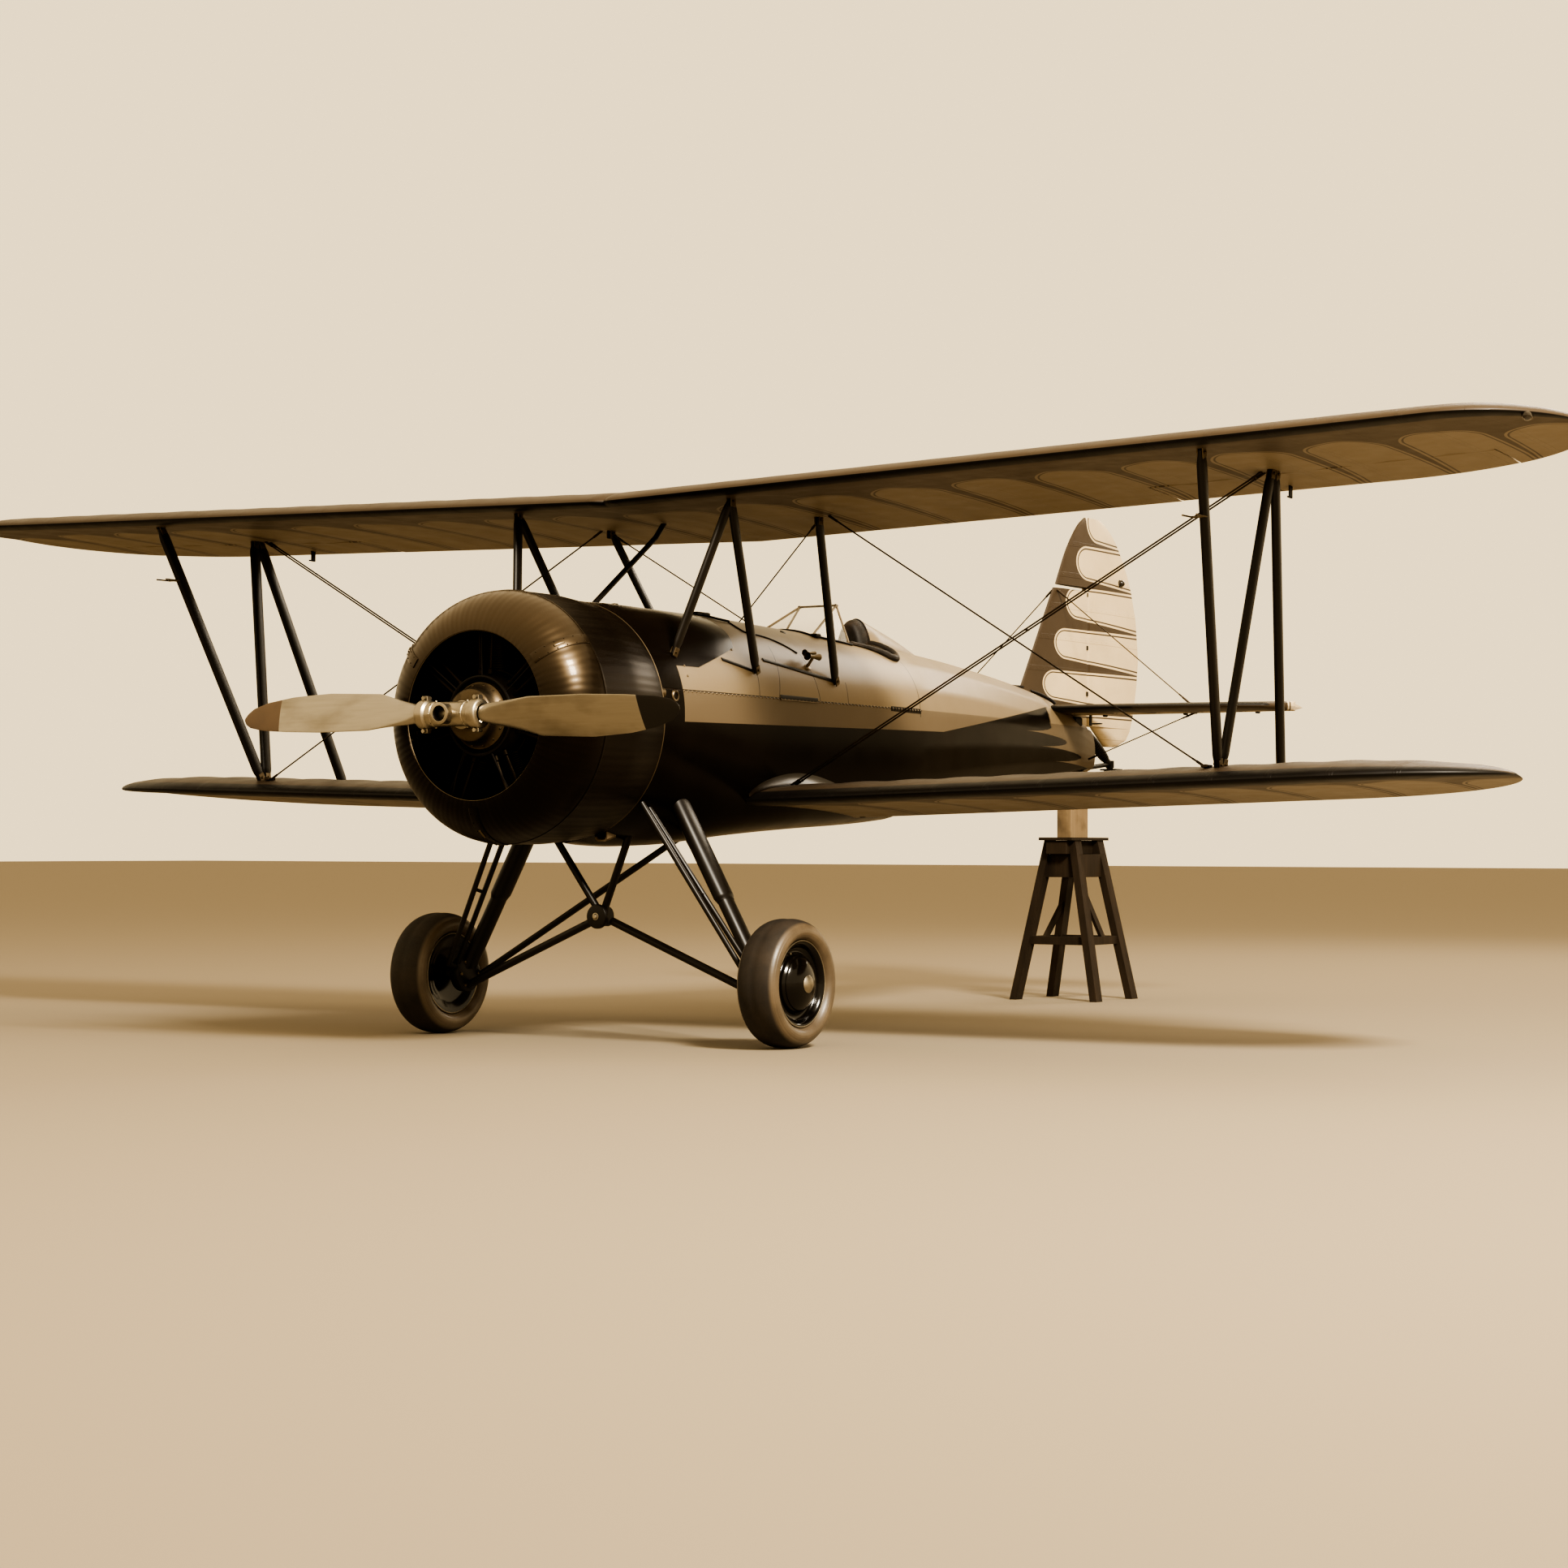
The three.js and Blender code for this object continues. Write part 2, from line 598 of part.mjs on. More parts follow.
// height Z, leading edge Y, trailing edge Y
const RUDDER_AHEAD = HINGE_RUDDER_Y - 120; // so that the full thickness is reached at the hinge line
const RUDDER_LOW = [
  [1590, 5350, 5470],
  [1600, 5325, 5530],
  [1640, 5255, 5650],
  [1698, 5165, 5705],
  [1712, RUDDER_AHEAD, 5713],
  [1810, RUDDER_AHEAD, 5756],
  [2000, RUDDER_AHEAD, 5805],
  [2170, RUDDER_AHEAD, 5828],
  [2424, RUDDER_AHEAD, 5792],
  [2600, RUDDER_AHEAD, 5727],
];
const RUDDER_HORN = [
  [2585, 4682, 5735],
  [2675, 4735, 5687],
  [2800, 4815, 5600],
  [2907, 4905, 5501],
  [2985, 4990, 5390],
  [3030, 5070, 5290],
];
const FIN = [
  [1700, 4090, 5600],
  [1910, 4218, 5600],
  [2200, 4412, 5600],
  [2560, 4652, 5600],
];
const TAIL_THICKNESS = 62;
const RUDDER_NOSE = 26;
const TAIL_GAP = 9;
const RUDDER_COVE = RUDDER_NOSE + TAIL_GAP;

const upright = (z, y, x) => point(x, y, z);

const uprightSurface = (rows) =>
  loft(rows.map(([z, front, back]) => thinRing(z, front, back, TAIL_THICKNESS, upright)));

function rudder() {
  const hinge = (z) => point(0, HINGE_RUDDER_Y, z);
  const behind = box([-60, HINGE_RUDDER_Y, 1500], [60, 6000, 2600]);
  const nose = rod(hinge(RUDDER_FOOT_Z), hinge(2599), RUDDER_NOSE, 20);
  const pinRoom = rod(hinge(1500), hinge(RUDDER_FOOT_Z), RUDDER_COVE, 20);
  const low = cut(common(uprightSurface(RUDDER_LOW), behind), pinRoom);
  return join(low, nose, uprightSurface(RUDDER_HORN));
}

function fin() {
  const whole = uprightSurface(FIN);
  const cove = rod(point(0, HINGE_RUDDER_Y, 1500), point(0, HINGE_RUDDER_Y, 2700), RUDDER_COVE, 20);
  const behind = box([-60, HINGE_RUDDER_Y, 1500], [60, 6000, 2700]);
  const tubeRoom = box([-60, HINGE_ELEVATOR_Y - 400, 1700], [60, 5300, TAILPLANE_Z + 34]);
  return cut(whole, behind, cove, tubeRoom, grownFuselage(), grownTailplane());
}

// distance from the middle X, leading edge Y, trailing edge Y
const TAILPLANE = [
  [0, 4380, 5470],
  [300, 4430, 5470],
  [900, 4545, 5440],
  [1200, 4625, 5370],
  [1380, 4730, 5260],
  [1460, 4840, 5130],
  [1486, 4915, 5040],
];
const TAILPLANE_THICKNESS = 58;
const ELEVATOR_NOSE = 24;
const ELEVATOR_TUBE = 15;
const ELEVATOR_ROOT = 62; // distance of the elevators' inner ends from the middle
const ELEVATOR_NOSE_END = 1440;
const CUTOUT_SLOPE = 0.72; // how far the inner edges draw outward for each unit aft

const flat = (x, y, z) => point(x, y, TAILPLANE_Z + z);

function tailSurface(thickness) {
  const rows = [...TAILPLANE.slice(1).reverse().map(([x, a, b]) => [-x, a, b]), ...TAILPLANE];
  return loft(rows.map(([x, front, back]) => thinRing(x, front, back, thickness, flat)));
}

function grownTailplane() {
  const ahead = box([-1500, 4000, 1700], [1500, HINGE_ELEVATOR_Y - 20, 1900]);
  return common(tailSurface(TAILPLANE_THICKNESS + 1), ahead);
}

function elevatorNose(radius, from, to) {
  return rod(flat(from, HINGE_ELEVATOR_Y, 0), flat(to, HINGE_ELEVATOR_Y, 0), radius, 20);
}

function tailplane() {
  const behind = box([-1600, HINGE_ELEVATOR_Y, 1600], [1600, 6000, 2000]);
  const cove = elevatorNose(ELEVATOR_NOSE + TAIL_GAP, -1600, 1600);
  const bearing = cut(
    box([-38, HINGE_ELEVATOR_Y - 45, TAILPLANE_Z - 24], [38, HINGE_ELEVATOR_Y + 26, TAILPLANE_Z + 24]),
    elevatorNose(ELEVATOR_TUBE + SEAT_GAP, -60, 60),
  );
  return join(cut(tailSurface(TAILPLANE_THICKNESS), behind, cove), bearing);
}

// Both elevators and the tube between them are one piece
function elevators() {
  const reach = 700;
  const slant = reach * CUTOUT_SLOPE;
  const tips = [-1, 1].flatMap((side) => {
    const corner = (x, y, z) => point(side * x, HINGE_ELEVATOR_Y + y, TAILPLANE_Z + z);
    const ring = (z) => [
      corner(ELEVATOR_ROOT, 0, z), corner(1600, 0, z),
      corner(1600, reach, z), corner(ELEVATOR_ROOT + slant, reach, z),
    ];
    const blade = common(tailSurface(TAILPLANE_THICKNESS), loft([ring(-100), ring(100)]));
    return [blade, elevatorNose(ELEVATOR_NOSE, side * ELEVATOR_ROOT, side * ELEVATOR_NOSE_END)];
  });
  return join(...tips, elevatorNose(ELEVATOR_TUBE, -ELEVATOR_ROOT - 5, ELEVATOR_ROOT + 5));
}

// Propeller and engine

function propHub() {
  const along = (radius, half) => new THREE.CylinderGeometry(radius, radius, 2 * half, 20);
  const barrel = along(HUB.barrel, HUB.half);
  const collars = [-1, 1].map((side) => {
    const collar = along(HUB.collar, (HUB.collarTo - HUB.collarFrom) / 2);
    collar.translate(0, (side * (HUB.collarTo + HUB.collarFrom)) / 2, 0);
    return collar;
  });
  const across = join(barrel, ...collars);
  across.rotateZ(Math.PI / 2);
  const reach = PROP_PLANE_Y - HUB_FRONT_Y;
  const boss = along(HUB.boss, reach / 2);
  boss.translate(0, -reach / 2, 0);
  const back = along(HUB.back, reach / 2);
  back.translate(0, reach / 2, 0);
  const bore = along(HUB.bore, HUB.boreDepth);
  bore.translate(0, -reach, 0);
  const whole = cut(join(across, boss, back), bore);
  whole.translate(0, PROP_PLANE_Y, THRUST_Z);
  return whole;
}

// part of the radius, width, thickness, angle in degrees, and how far the middle lies behind the axis
const BLADE = [
  [(HUB.half + SEAT_GAP) / PROP_RADIUS, 76, 76, 40, 0],
  [0.185, 118, 66, 39, 4],
  [0.29, 164, 44, 34, 14],
  [0.37, 205, 34, 31, 22],
  [0.61, 206, 21, 24, 24],
  [0.78, 178, 14, 19, 20],
  [0.9, 140, 10, 16.5, 12],
  [0.965, 96, 8, 15, 5],
  [0.99, 54, 7, 15, 1],
  [1.0, 18, 6, 15, 0],
];
const BLADE_SIDES = 14;

function blade(side) {
  const rings = BLADE.map(([part, width, thickness, degrees, behind]) => {
    const angle = THREE.MathUtils.degToRad(degrees);
    return Array.from({ length: BLADE_SIDES }, (_, i) => {
      const turn = (2 * Math.PI * i) / BLADE_SIDES;
      const [w, t] = [(Math.cos(turn) * width) / 2 - behind, (Math.sin(turn) * thickness) / 2];
      return point(
        side * part * PROP_RADIUS,
        PROP_PLANE_Y - w * Math.sin(angle) + t * Math.cos(angle),
        THRUST_Z + side * (w * Math.cos(angle) + t * Math.sin(angle)),
      );
    });
  });
  return loft(rings);
}

const CYLINDERS = 7;
const CYLINDER = {
  y: -850, foot: 196, finFrom: 232, fins: 6, pitch: 32, barrel: 66, finRadius: 88,
  head: 430, headRadius: 94, top: 548, topRadius: 66,
};
const CASE_RADIUS = 215;

// One finned cylinder with its head, rocker boxes and push rods, standing out along +Z from the shaft
function cylinder() {
  const profile = [[0, CYLINDER.foot], [CYLINDER.barrel, CYLINDER.foot]];
  for (let k = 0; k < CYLINDER.fins; k += 1) {
    const low = CYLINDER.finFrom + k * CYLINDER.pitch;
    profile.push([CYLINDER.barrel, low], [CYLINDER.finRadius, low + CYLINDER.pitch / 2]);
  }
  profile.push([CYLINDER.barrel, CYLINDER.head], [CYLINDER.headRadius, CYLINDER.head + 8]);
  profile.push([CYLINDER.topRadius, CYLINDER.top], [0, CYLINDER.top]);
  const barrel = lathe(profile, 12);
  barrel.rotateX(Math.PI / 2);
  const valves = [-1, 1].flatMap((side) => [
    box([side * 42 - 19, -116, 482], [side * 42 + 19, -20, 528]),
    rod(point(side * 30, -107, CASE_RADIUS - 20), point(side * 42, -106, 500), 9, 5),
  ]);
  return join(barrel, ...valves);
}

function engine() {
  const shaft = HUB_BACK_Y + SEAT_GAP;
  const tail = FUSELAGE_FRONT_Y - SEAT_GAP;
  const housing = lathe([
    [0, shaft], [34, shaft], [34, -1096], [112, -1092], [124, -1080], [126, -1040],
    [150, -1005], [205, -950], [CASE_RADIUS, -930], [CASE_RADIUS, -770], [190, -730], [190, tail], [0, tail],
  ], 28);
  const ring = Array.from({ length: CYLINDERS }, (_, k) => {
    const one = cylinder();
    one.translate(0, CYLINDER.y, 0);
    one.rotateY((2 * Math.PI * k) / CYLINDERS);
    return one;
  });
  const whole = join(housing, ...ring);
  whole.translate(0, 0, THRUST_Z);
  return whole;
}

// A quarter ellipse from the opening's lip out to the full radius, made hollow by its wall
function cowlRing() {
  const steps = 6;
  const outer = [];
  const inner = [];
  for (let i = 0; i <= steps; i += 1) {
    const angle = (Math.PI / 2) * (i / steps);
    const back = COWL.fullY - COWL.lipY;
    const rise = COWL.radius - COWL.opening;
    outer.push([COWL.opening + rise * Math.sin(angle), COWL.fullY - back * Math.cos(angle)]);
    inner.push([
      COWL.opening + (rise - COWL.wall) * Math.sin(angle),
      COWL.fullY - (back - COWL.wall) * Math.cos(angle),
    ]);
  }
  const ring = lathe([...outer, ...inner.reverse(), outer[0]], COWL.sides);
  ring.translate(0, 0, THRUST_Z);
  return ring;
}

function cowlSkirt() {
  const front = COWL.fullY + SEAT_GAP;
  const rear = COWL.radius - COWL.draw;
  const outside = [[COWL.radius, front], [COWL.radius, COWL.straightY], [rear, COWL.skirtY]];
  const inside = outside.map(([radius, y]) => [radius - COWL.wall, y]).reverse();
  const skirt = lathe([...outside, ...inside, outside[0]], COWL.sides);
  skirt.translate(0, 0, THRUST_Z);
  return cut(skirt, grownFuselage(), exhaustBody(SEAT_GAP));
}

// The end of the exhaust pipe looks aft out of the gap behind the cowl, on the left side
const EXHAUST = { from: [519, -400, 1678], to: [550, -306, 1678], radius: 25, bore: 20, boreFrom: 0.3 };

function exhaustBody(grow) {
  return rod(point(...EXHAUST.from), point(...EXHAUST.to), EXHAUST.radius + grow, 18);
}

function exhaustPipe() {
  const [from, to] = [point(...EXHAUST.from), point(...EXHAUST.to)];
  const bore = rod(from.clone().lerp(to, EXHAUST.boreFrom), from.clone().lerp(to, 1.1), EXHAUST.bore, 18);
  return cut(exhaustBody(0), bore);
}

// Tail wheel

const TAIL_ARM_X = TAIL_WHEEL.width / 2 + 10; // inner face of the fork's arms

// A shock strut from the top of the stern, a lower arm and a thin brace meet at the swivel's socket
function tailWheelLeg() {
  const pivotY = TAIL_WHEEL.y - TAIL_WHEEL.trail;
  const socketZ = TAIL_WHEEL.z + TAIL_WHEEL.postTop;
  const at = (y, z) => point(0, y, z);
  const strut = bar(at(5083, 1680), at(pivotY, socketZ + 16), 50, 40, 12);
  const arm = rod(at(5105, 1450), at(pivotY, socketZ + 24), 14, 10);
  const brace = rod(at(5132, 1660), at(5182, 1450), 8, 8);
  const socket = rod(at(pivotY, socketZ + SEAT_GAP), at(pivotY, socketZ + 46), 27, 16);
  const below = box([-60, pivotY - 60, socketZ - 60], [60, pivotY + 60, socketZ + SEAT_GAP]);
  const above = box([-60, 5000, STERN_STEP_Z - 2], [60, FUSELAGE_END_Y, 1900]);
  return cut(join(strut, arm, brace, socket), grownFuselage(), below, above);
}

function tailWheelFork() {
  const { y, z, width, trail, postTop } = TAIL_WHEEL;
  const crown = box([-width / 2 - 22, y - trail - 28, z + 106], [width / 2 + 22, y + 10, z + 116]);
  const post = rod(point(0, y - trail, z + 110), point(0, y - trail, z + postTop), 22, 14);
  const arms = [-1, 1].map((s) => bar(
    point(s * (TAIL_ARM_X + 5), y - 20, z + 111),
    point(s * (TAIL_ARM_X + 5), y, z - 14),
    36,
    10,
    10,
  ));
  return join(crown, post, ...arms);
}

function tailTyre() {
  const geometry = tyre({ ...TAIL_WHEEL, inner: TAIL_WHEEL.rim, outer: TAIL_WHEEL.radius }, 24);
  geometry.translate(0, TAIL_WHEEL.y, TAIL_WHEEL.z);
  return geometry;
}

function tailHub() {
  const end = TAIL_ARM_X - SEAT_GAP;
  const [rim, bead] = [TAIL_WHEEL.rim - SEAT_GAP, TAIL_WHEEL.bead];
  const hub = lathe([
    [0, -end], [17, -end], [17, -bead - 2], [rim, -bead], [rim, bead], [17, bead + 2], [17, end], [0, end],
  ], 24);
  hub.rotateZ(Math.PI / 2);
  hub.translate(0, TAIL_WHEEL.y, TAIL_WHEEL.z);
  return hub;
}

// Cockpit

function seat() {
  const backY = COCKPIT.back - SEAT_GAP;
  const half = 205;
  const pan = box([-half, 1880, 1500], [half, backY, 1545]);
  const back = box([-half, backY - 40, 1500], [half, backY, 2020]);
  return join(pan, back);
}

const instrumentPanel = () => box([-215, COCKPIT.front + SEAT_GAP, 1700], [215, COCKPIT.front + 12, 1985]);

const controlStick = () => rod(point(0, 1850, COCKPIT.floor + SEAT_GAP), point(0, 1850, 1760), 14, 12);

// Three panes in a thin frame: corners on the left side, the frame's radius and the pane thickness
const WINDSHIELD = {
  frontFoot: [200, 1545, 2062], rearFoot: [250, 1868, 2012], top: [117, 1930, 2260], frame: 7, pane: 4,
};

function windshield() {
  const corner = (name, side) => {
    const [x, y, z] = WINDSHIELD[name];
    return point(side * x, y, z);
  };
  const bars = [[corner('top', 1), corner('top', -1)]];
  const panes = [['frontFoot', 1], ['frontFoot', -1], ['top', -1], ['top', 1]];
  const solids = [pane(panes.map(([name, side]) => corner(name, side)), WINDSHIELD.pane)];
  for (const side of [-1, 1]) {
    const [front, rear, top] = ['frontFoot', 'rearFoot', 'top'].map((name) => corner(name, side));
    bars.push([front, top], [rear, top], [front, rear]);
    solids.push(pane([front, rear, top], WINDSHIELD.pane));
  }
  solids.push(...bars.map(([from, to]) => rod(from, to, WINDSHIELD.frame, 8)));
  return cut(join(...solids), grownFuselage(), grownCoaming());
}

// The padded rim of the cockpit, on the deck round its sides and its back: X and Y on the left side
const COAMING = {
  edge: [[236, 1876], [238, 2080], [234, 2250], [196, 2312], [100, 2322]], lift: 8, radius: 17,
};

function coaming(grow = 0) {
  const half = COAMING.edge.map(([x, y]) => point(x, y, deckZ(x, y) + COAMING.lift));
  const other = half.map((p) => point(-p.x, p.y, p.z)).reverse();
  return tube([...half, ...other], COAMING.radius + grow);
}

const grownCoaming = () => coaming(SEAT_GAP);
const cockpitCoaming = () => cut(coaming(), grownFuselage());

// station Y, half width, top Z of the fairing behind the head
const HEADREST = [[2330, 100, 2215], [2420, 118, 2190], [2700, 84, 2120], [2930, 40, 2055]];
const HEADREST_MIDDLE_Z = 2000;
const HEADREST_SIDES = 14;

function headrestRing([y, half, top], grow = 0) {
  return Array.from({ length: HEADREST_SIDES }, (_, i) => {
    const angle = (2 * Math.PI * i) / HEADREST_SIDES;
    return point(
      (half + grow) * Math.cos(angle),
      y,
      HEADREST_MIDDLE_Z + (top + grow - HEADREST_MIDDLE_Z) * Math.sin(angle),
    );
  });
}

const headrest = () => cut(loft(HEADREST.map((row) => headrestRing(row))), grownFuselage(), grownCoaming());

// The leather pad on the front of the fairing
function headrestPad() {
  const [y, half, top] = HEADREST[0];
  const rows = [
    [y - 92, half - 34, top - 34],
    [y - 74, half - 10, top - 8],
    [y - SEAT_GAP, half - 2, top - 2],
  ];
  const below = box([-200, y - 150, 1700], [200, y + 10, deckZ(0, y) + COAMING.radius + 12]);
  return cut(loft(rows.map((row) => headrestRing(row))), below, grownCoaming());
}

// Trestle

// A sawhorse: leg places at the top and on the ground, as distances from the middle
const SAWHORSE = {
  topX: 85, topY: 150, topZ: 988, footX: 280, footY: 243,
  board: [115, 250, 18], leg: [80, 46], apronZ: 835, apron: [143, 22], railZ: 370, rail: [50, 22],
  brace: [46, 20], braces: [[1, -1, 714], [-1, 1, 630]],
};

function trestle() {
  const middle = (x, y, z) => point(x, TRESTLE_Y + y, z);
  const legAt = (sx, sy, z) => {
    const down = 1 - z / SAWHORSE.topZ;
    return middle(
      sx * (SAWHORSE.topX + (SAWHORSE.footX - SAWHORSE.topX) * down),
      sy * (SAWHORSE.topY + (SAWHORSE.footY - SAWHORSE.topY) * down),
      z,
    );
  };
  const [halfX, halfY, thick] = SAWHORSE.board;
  const board = box(
    [-halfX, TRESTLE_Y - halfY, TRESTLE_TOP_Z - thick],
    [halfX, TRESTLE_Y + halfY, TRESTLE_TOP_Z],
  );
  const corners = [[-1, -1], [1, -1], [1, 1], [-1, 1]];
  const up = point(0, 0, 1);
  const legs = corners.map(([sx, sy]) =>
    plank(legAt(sx, sy, -30), legAt(sx, sy, TRESTLE_TOP_Z - 12), ...SAWHORSE.leg, point(0, 1, 0)));
  const rails = [[SAWHORSE.apronZ, SAWHORSE.apron], [SAWHORSE.railZ, SAWHORSE.rail]].flatMap(([z, size]) =>
    corners.map(([sx, sy], k) => {
      const [nextX, nextY] = corners[(k + 1) % corners.length];
      return plank(legAt(sx, sy, z), legAt(nextX, nextY, z), ...size, up);
    }));
  // one brace on each long side, from a leg down to the middle of the rail
  const braces = SAWHORSE.braces.map(([sx, sy, z]) => {
    const foot = legAt(sx, 1, SAWHORSE.railZ).lerp(legAt(sx, -1, SAWHORSE.railZ), 0.5);
    return plank(legAt(sx, sy, z), foot, ...SAWHORSE.brace, point(0, 1, 0));
  });
  return cut(join(board, ...legs, ...rails, ...braces), box([-600, 4000, -100], [600, 6000, 0]));
}

const TAIL_BLOCK = { halfX: 46, halfY: 117, y: 4912 };

const tailBlock = () => cut(
  box(
    [-TAIL_BLOCK.halfX, TAIL_BLOCK.y - TAIL_BLOCK.halfY, TRESTLE_TOP_Z + SEAT_GAP],
    [TAIL_BLOCK.halfX, TAIL_BLOCK.y + TAIL_BLOCK.halfY, 1500],
  ),
  grownFuselage(),
);

// Wires

const WIRE = 5; // radius

// A pair of wires, joined by the fork ends at their feet and tops and by a spacer in the middle
const FLYING = { footX: 510, footY: 890, inset: 60, apart: 34, ends: [0.015, 0.52, 0.985] };

function flyingWires(side) {
  const footU = (FLYING.footY - LOWER.rootY) / LOWER.chord;
  const foot = onSkin(LOWER, FLYING.footX, footU, true, side, SINK);
  const top = onSkin(UPPER, STRUT_UPPER_X - FLYING.inset, REAR_SPAR, false, side, SINK);
  const shift = [-1, 1].map((s) => point(0, (s * FLYING.apart) / 2, 0));
  const wires = shift.map((by) => rod(foot.clone().add(by), top.clone().add(by), WIRE, 6));
  const links = FLYING.ends.map((part) => {
    const middle = foot.clone().lerp(top, part);
    return rod(middle.clone().add(shift[0]), middle.clone().add(shift[1]), WIRE + 2, 6, point(0, 0, 1));
  });
  return cut(join(...wires, ...links), grownLower(side), grownFuselage(), grownUpper(side));
}

function landingWire(side) {
  const top = onSkin(UPPER, CABANE_TOP_X + 60, REAR_SPAR, false, side, SINK);
  const foot = onSkin(LOWER, STRUT_LOWER_X - 60, FRONT_SPAR, true, side, SINK);
  return cut(rod(foot, top, WIRE, 6), grownLower(side), grownUpper(side));
}

// The assembly

const plane = new THREE.Group();
const airframe = new THREE.Group();
airframe.position.set(0, -ORIGIN_Y, 0);
plane.add(airframe);

function add(name, geometry, material, position) {
  const mesh = new THREE.Mesh(geometry, material);
  mesh.name = name;
  if (position) mesh.position.copy(position);
  airframe.add(mesh);
}

add('cowl_ring', cowlRing(), MATERIAL.dark);
add('cowl_skirt', cowlSkirt(), MATERIAL.dark);
add('engine', engine(), MATERIAL.engine);
add('propeller_hub', propHub(), MATERIAL.steel);
add('fuselage_nose', fuselageNose(), MATERIAL.dark);
add('fuselage', fuselageMain(), MATERIAL.cream);
add('headrest_fairing', headrest(), MATERIAL.cream);
add('seat', seat(), MATERIAL.interior);
add('instrument_panel', instrumentPanel(), MATERIAL.interior);
add('control_stick', controlStick(), MATERIAL.steel);
add('windshield', windshield(), MATERIAL.glass);
add('cockpit_coaming', cockpitCoaming(), MATERIAL.leather);
add('headrest_pad', headrestPad(), MATERIAL.leather);
add('fuel_pipe', fuelPipe(), MATERIAL.strut);
add('exhaust_pipe', exhaustPipe(), MATERIAL.steel);
add('tailplane', tailplane(), MATERIAL.cream);
add('elevators', elevators(), MATERIAL.cream);
add('fin', fin(), MATERIAL.cream);
add('rudder', rudder(), MATERIAL.cream);
add('tail_wheel_leg', tailWheelLeg(), MATERIAL.strut);
add('tail_wheel_fork', tailWheelFork(), MATERIAL.strut);
add('tail_tyre', tailTyre(), MATERIAL.rubber);
add('tail_wheel_hub', tailHub(), MATERIAL.rim);
add('gear_apex', gearApex(), MATERIAL.strut);
add('trestle', trestle(), MATERIAL.wood);
add('tail_block', tailBlock(), MATERIAL.wood);

for (const [word, side] of [['left', 1], ['right', -1]]) {
  add(`propeller_blade_${word}`, blade(side), MATERIAL.polished);
  add(`upper_wing_${word}`, upperWing(side), MATERIAL.cream);
  add(`aileron_${word}`, aileron(side), MATERIAL.cream);
  add(`lower_wing_${word}`, lowerWing(side), MATERIAL.cream);
  for (const place of ['front', 'diagonal', 'rear']) {
    add(`strut_${place}_${word}`, interplaneStrut(side, place), MATERIAL.strut);
  }
  add(`cabane_front_${word}`, cabaneStrut(side, 'front'), MATERIAL.strut);
  add(`cabane_rear_${word}`, cabaneStrut(side, 'rear'), MATERIAL.strut);
  add(`gear_leg_${word}`, gearLeg(side), MATERIAL.strut);
  add(`gear_front_strut_${word}`, gearFrontStrut(side), MATERIAL.strut);
  add(`gear_drag_strut_${word}`, gearDragStrut(side), MATERIAL.strut);
  add(`gear_axle_${word}`, gearAxle(side), MATERIAL.strut);
  const wheelPlace = point(side * WHEEL_X, 0, WHEEL_Z);
  add(`wheel_hub_${word}`, wheelHub(side), MATERIAL.rim, wheelPlace);
  add(`tyre_${word}`, tyre(TYRE, WHEEL_SIDES), MATERIAL.rubber, wheelPlace);
  add(`flying_wires_${word}`, flyingWires(side), MATERIAL.steel);
  add(`landing_wire_${word}`, landingWire(side), MATERIAL.steel);
}

export default plane;
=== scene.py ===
"""A parked biplane: radial engine in a ring cowling, open cockpit, tail up on a wooden sawhorse.

Lengths are millimetres in the tables, with Y counted from the main wheel axle as the drawings do.
"""

import math
from types import SimpleNamespace

import bmesh
import bpy
from mathutils import Matrix, Vector


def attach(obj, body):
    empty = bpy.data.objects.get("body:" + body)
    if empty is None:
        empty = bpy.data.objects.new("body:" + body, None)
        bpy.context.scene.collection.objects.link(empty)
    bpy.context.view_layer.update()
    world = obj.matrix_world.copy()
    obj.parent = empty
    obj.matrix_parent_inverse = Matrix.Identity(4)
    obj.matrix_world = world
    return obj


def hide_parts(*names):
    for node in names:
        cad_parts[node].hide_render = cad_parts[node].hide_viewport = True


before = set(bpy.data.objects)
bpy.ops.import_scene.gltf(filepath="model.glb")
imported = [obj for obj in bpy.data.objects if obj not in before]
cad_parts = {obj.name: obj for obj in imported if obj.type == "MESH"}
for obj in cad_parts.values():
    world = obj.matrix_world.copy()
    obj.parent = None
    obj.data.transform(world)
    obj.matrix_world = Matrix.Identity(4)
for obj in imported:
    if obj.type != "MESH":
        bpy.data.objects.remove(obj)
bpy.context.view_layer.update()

ORIGIN_Y = 2264  # the model's origin lies this far behind the wheel axle
SIDES = (("left", 1), ("right", -1))
UP = Vector((0, 0, 1))
AFT = Vector((0, 1, 0))
OUT = Vector((1, 0, 0))


def metres(point):
    """A point of the drawings in the model's frame."""
    return Vector((point[0], point[1] - ORIGIN_Y, point[2])) / 1000


def sided(side, places):
    """Places given for the left side, moved to the side that is asked for."""
    return [Vector((side * x, y, z)) for x, y, z in places]


def mix(a, b, share):
    """The value that lies at the share of the way from a to b."""
    return a + (b - a) * share


def smooth_step(low, high, value):
    share = min(1.0, max(0.0, (value - low) / (high - low)))
    return share * share * (3 - 2 * share)


def between(table, at):
    """A row of the table, worked out at its first column's value by straight lines."""
    k = next((i for i, row in enumerate(table) if row[0] >= at and i), len(table) - 1)
    a, b = table[k - 1], table[k]
    share = (at - a[0]) / (b[0] - a[0])
    return [mix(p, q, share) for p, q in zip(a, b)]


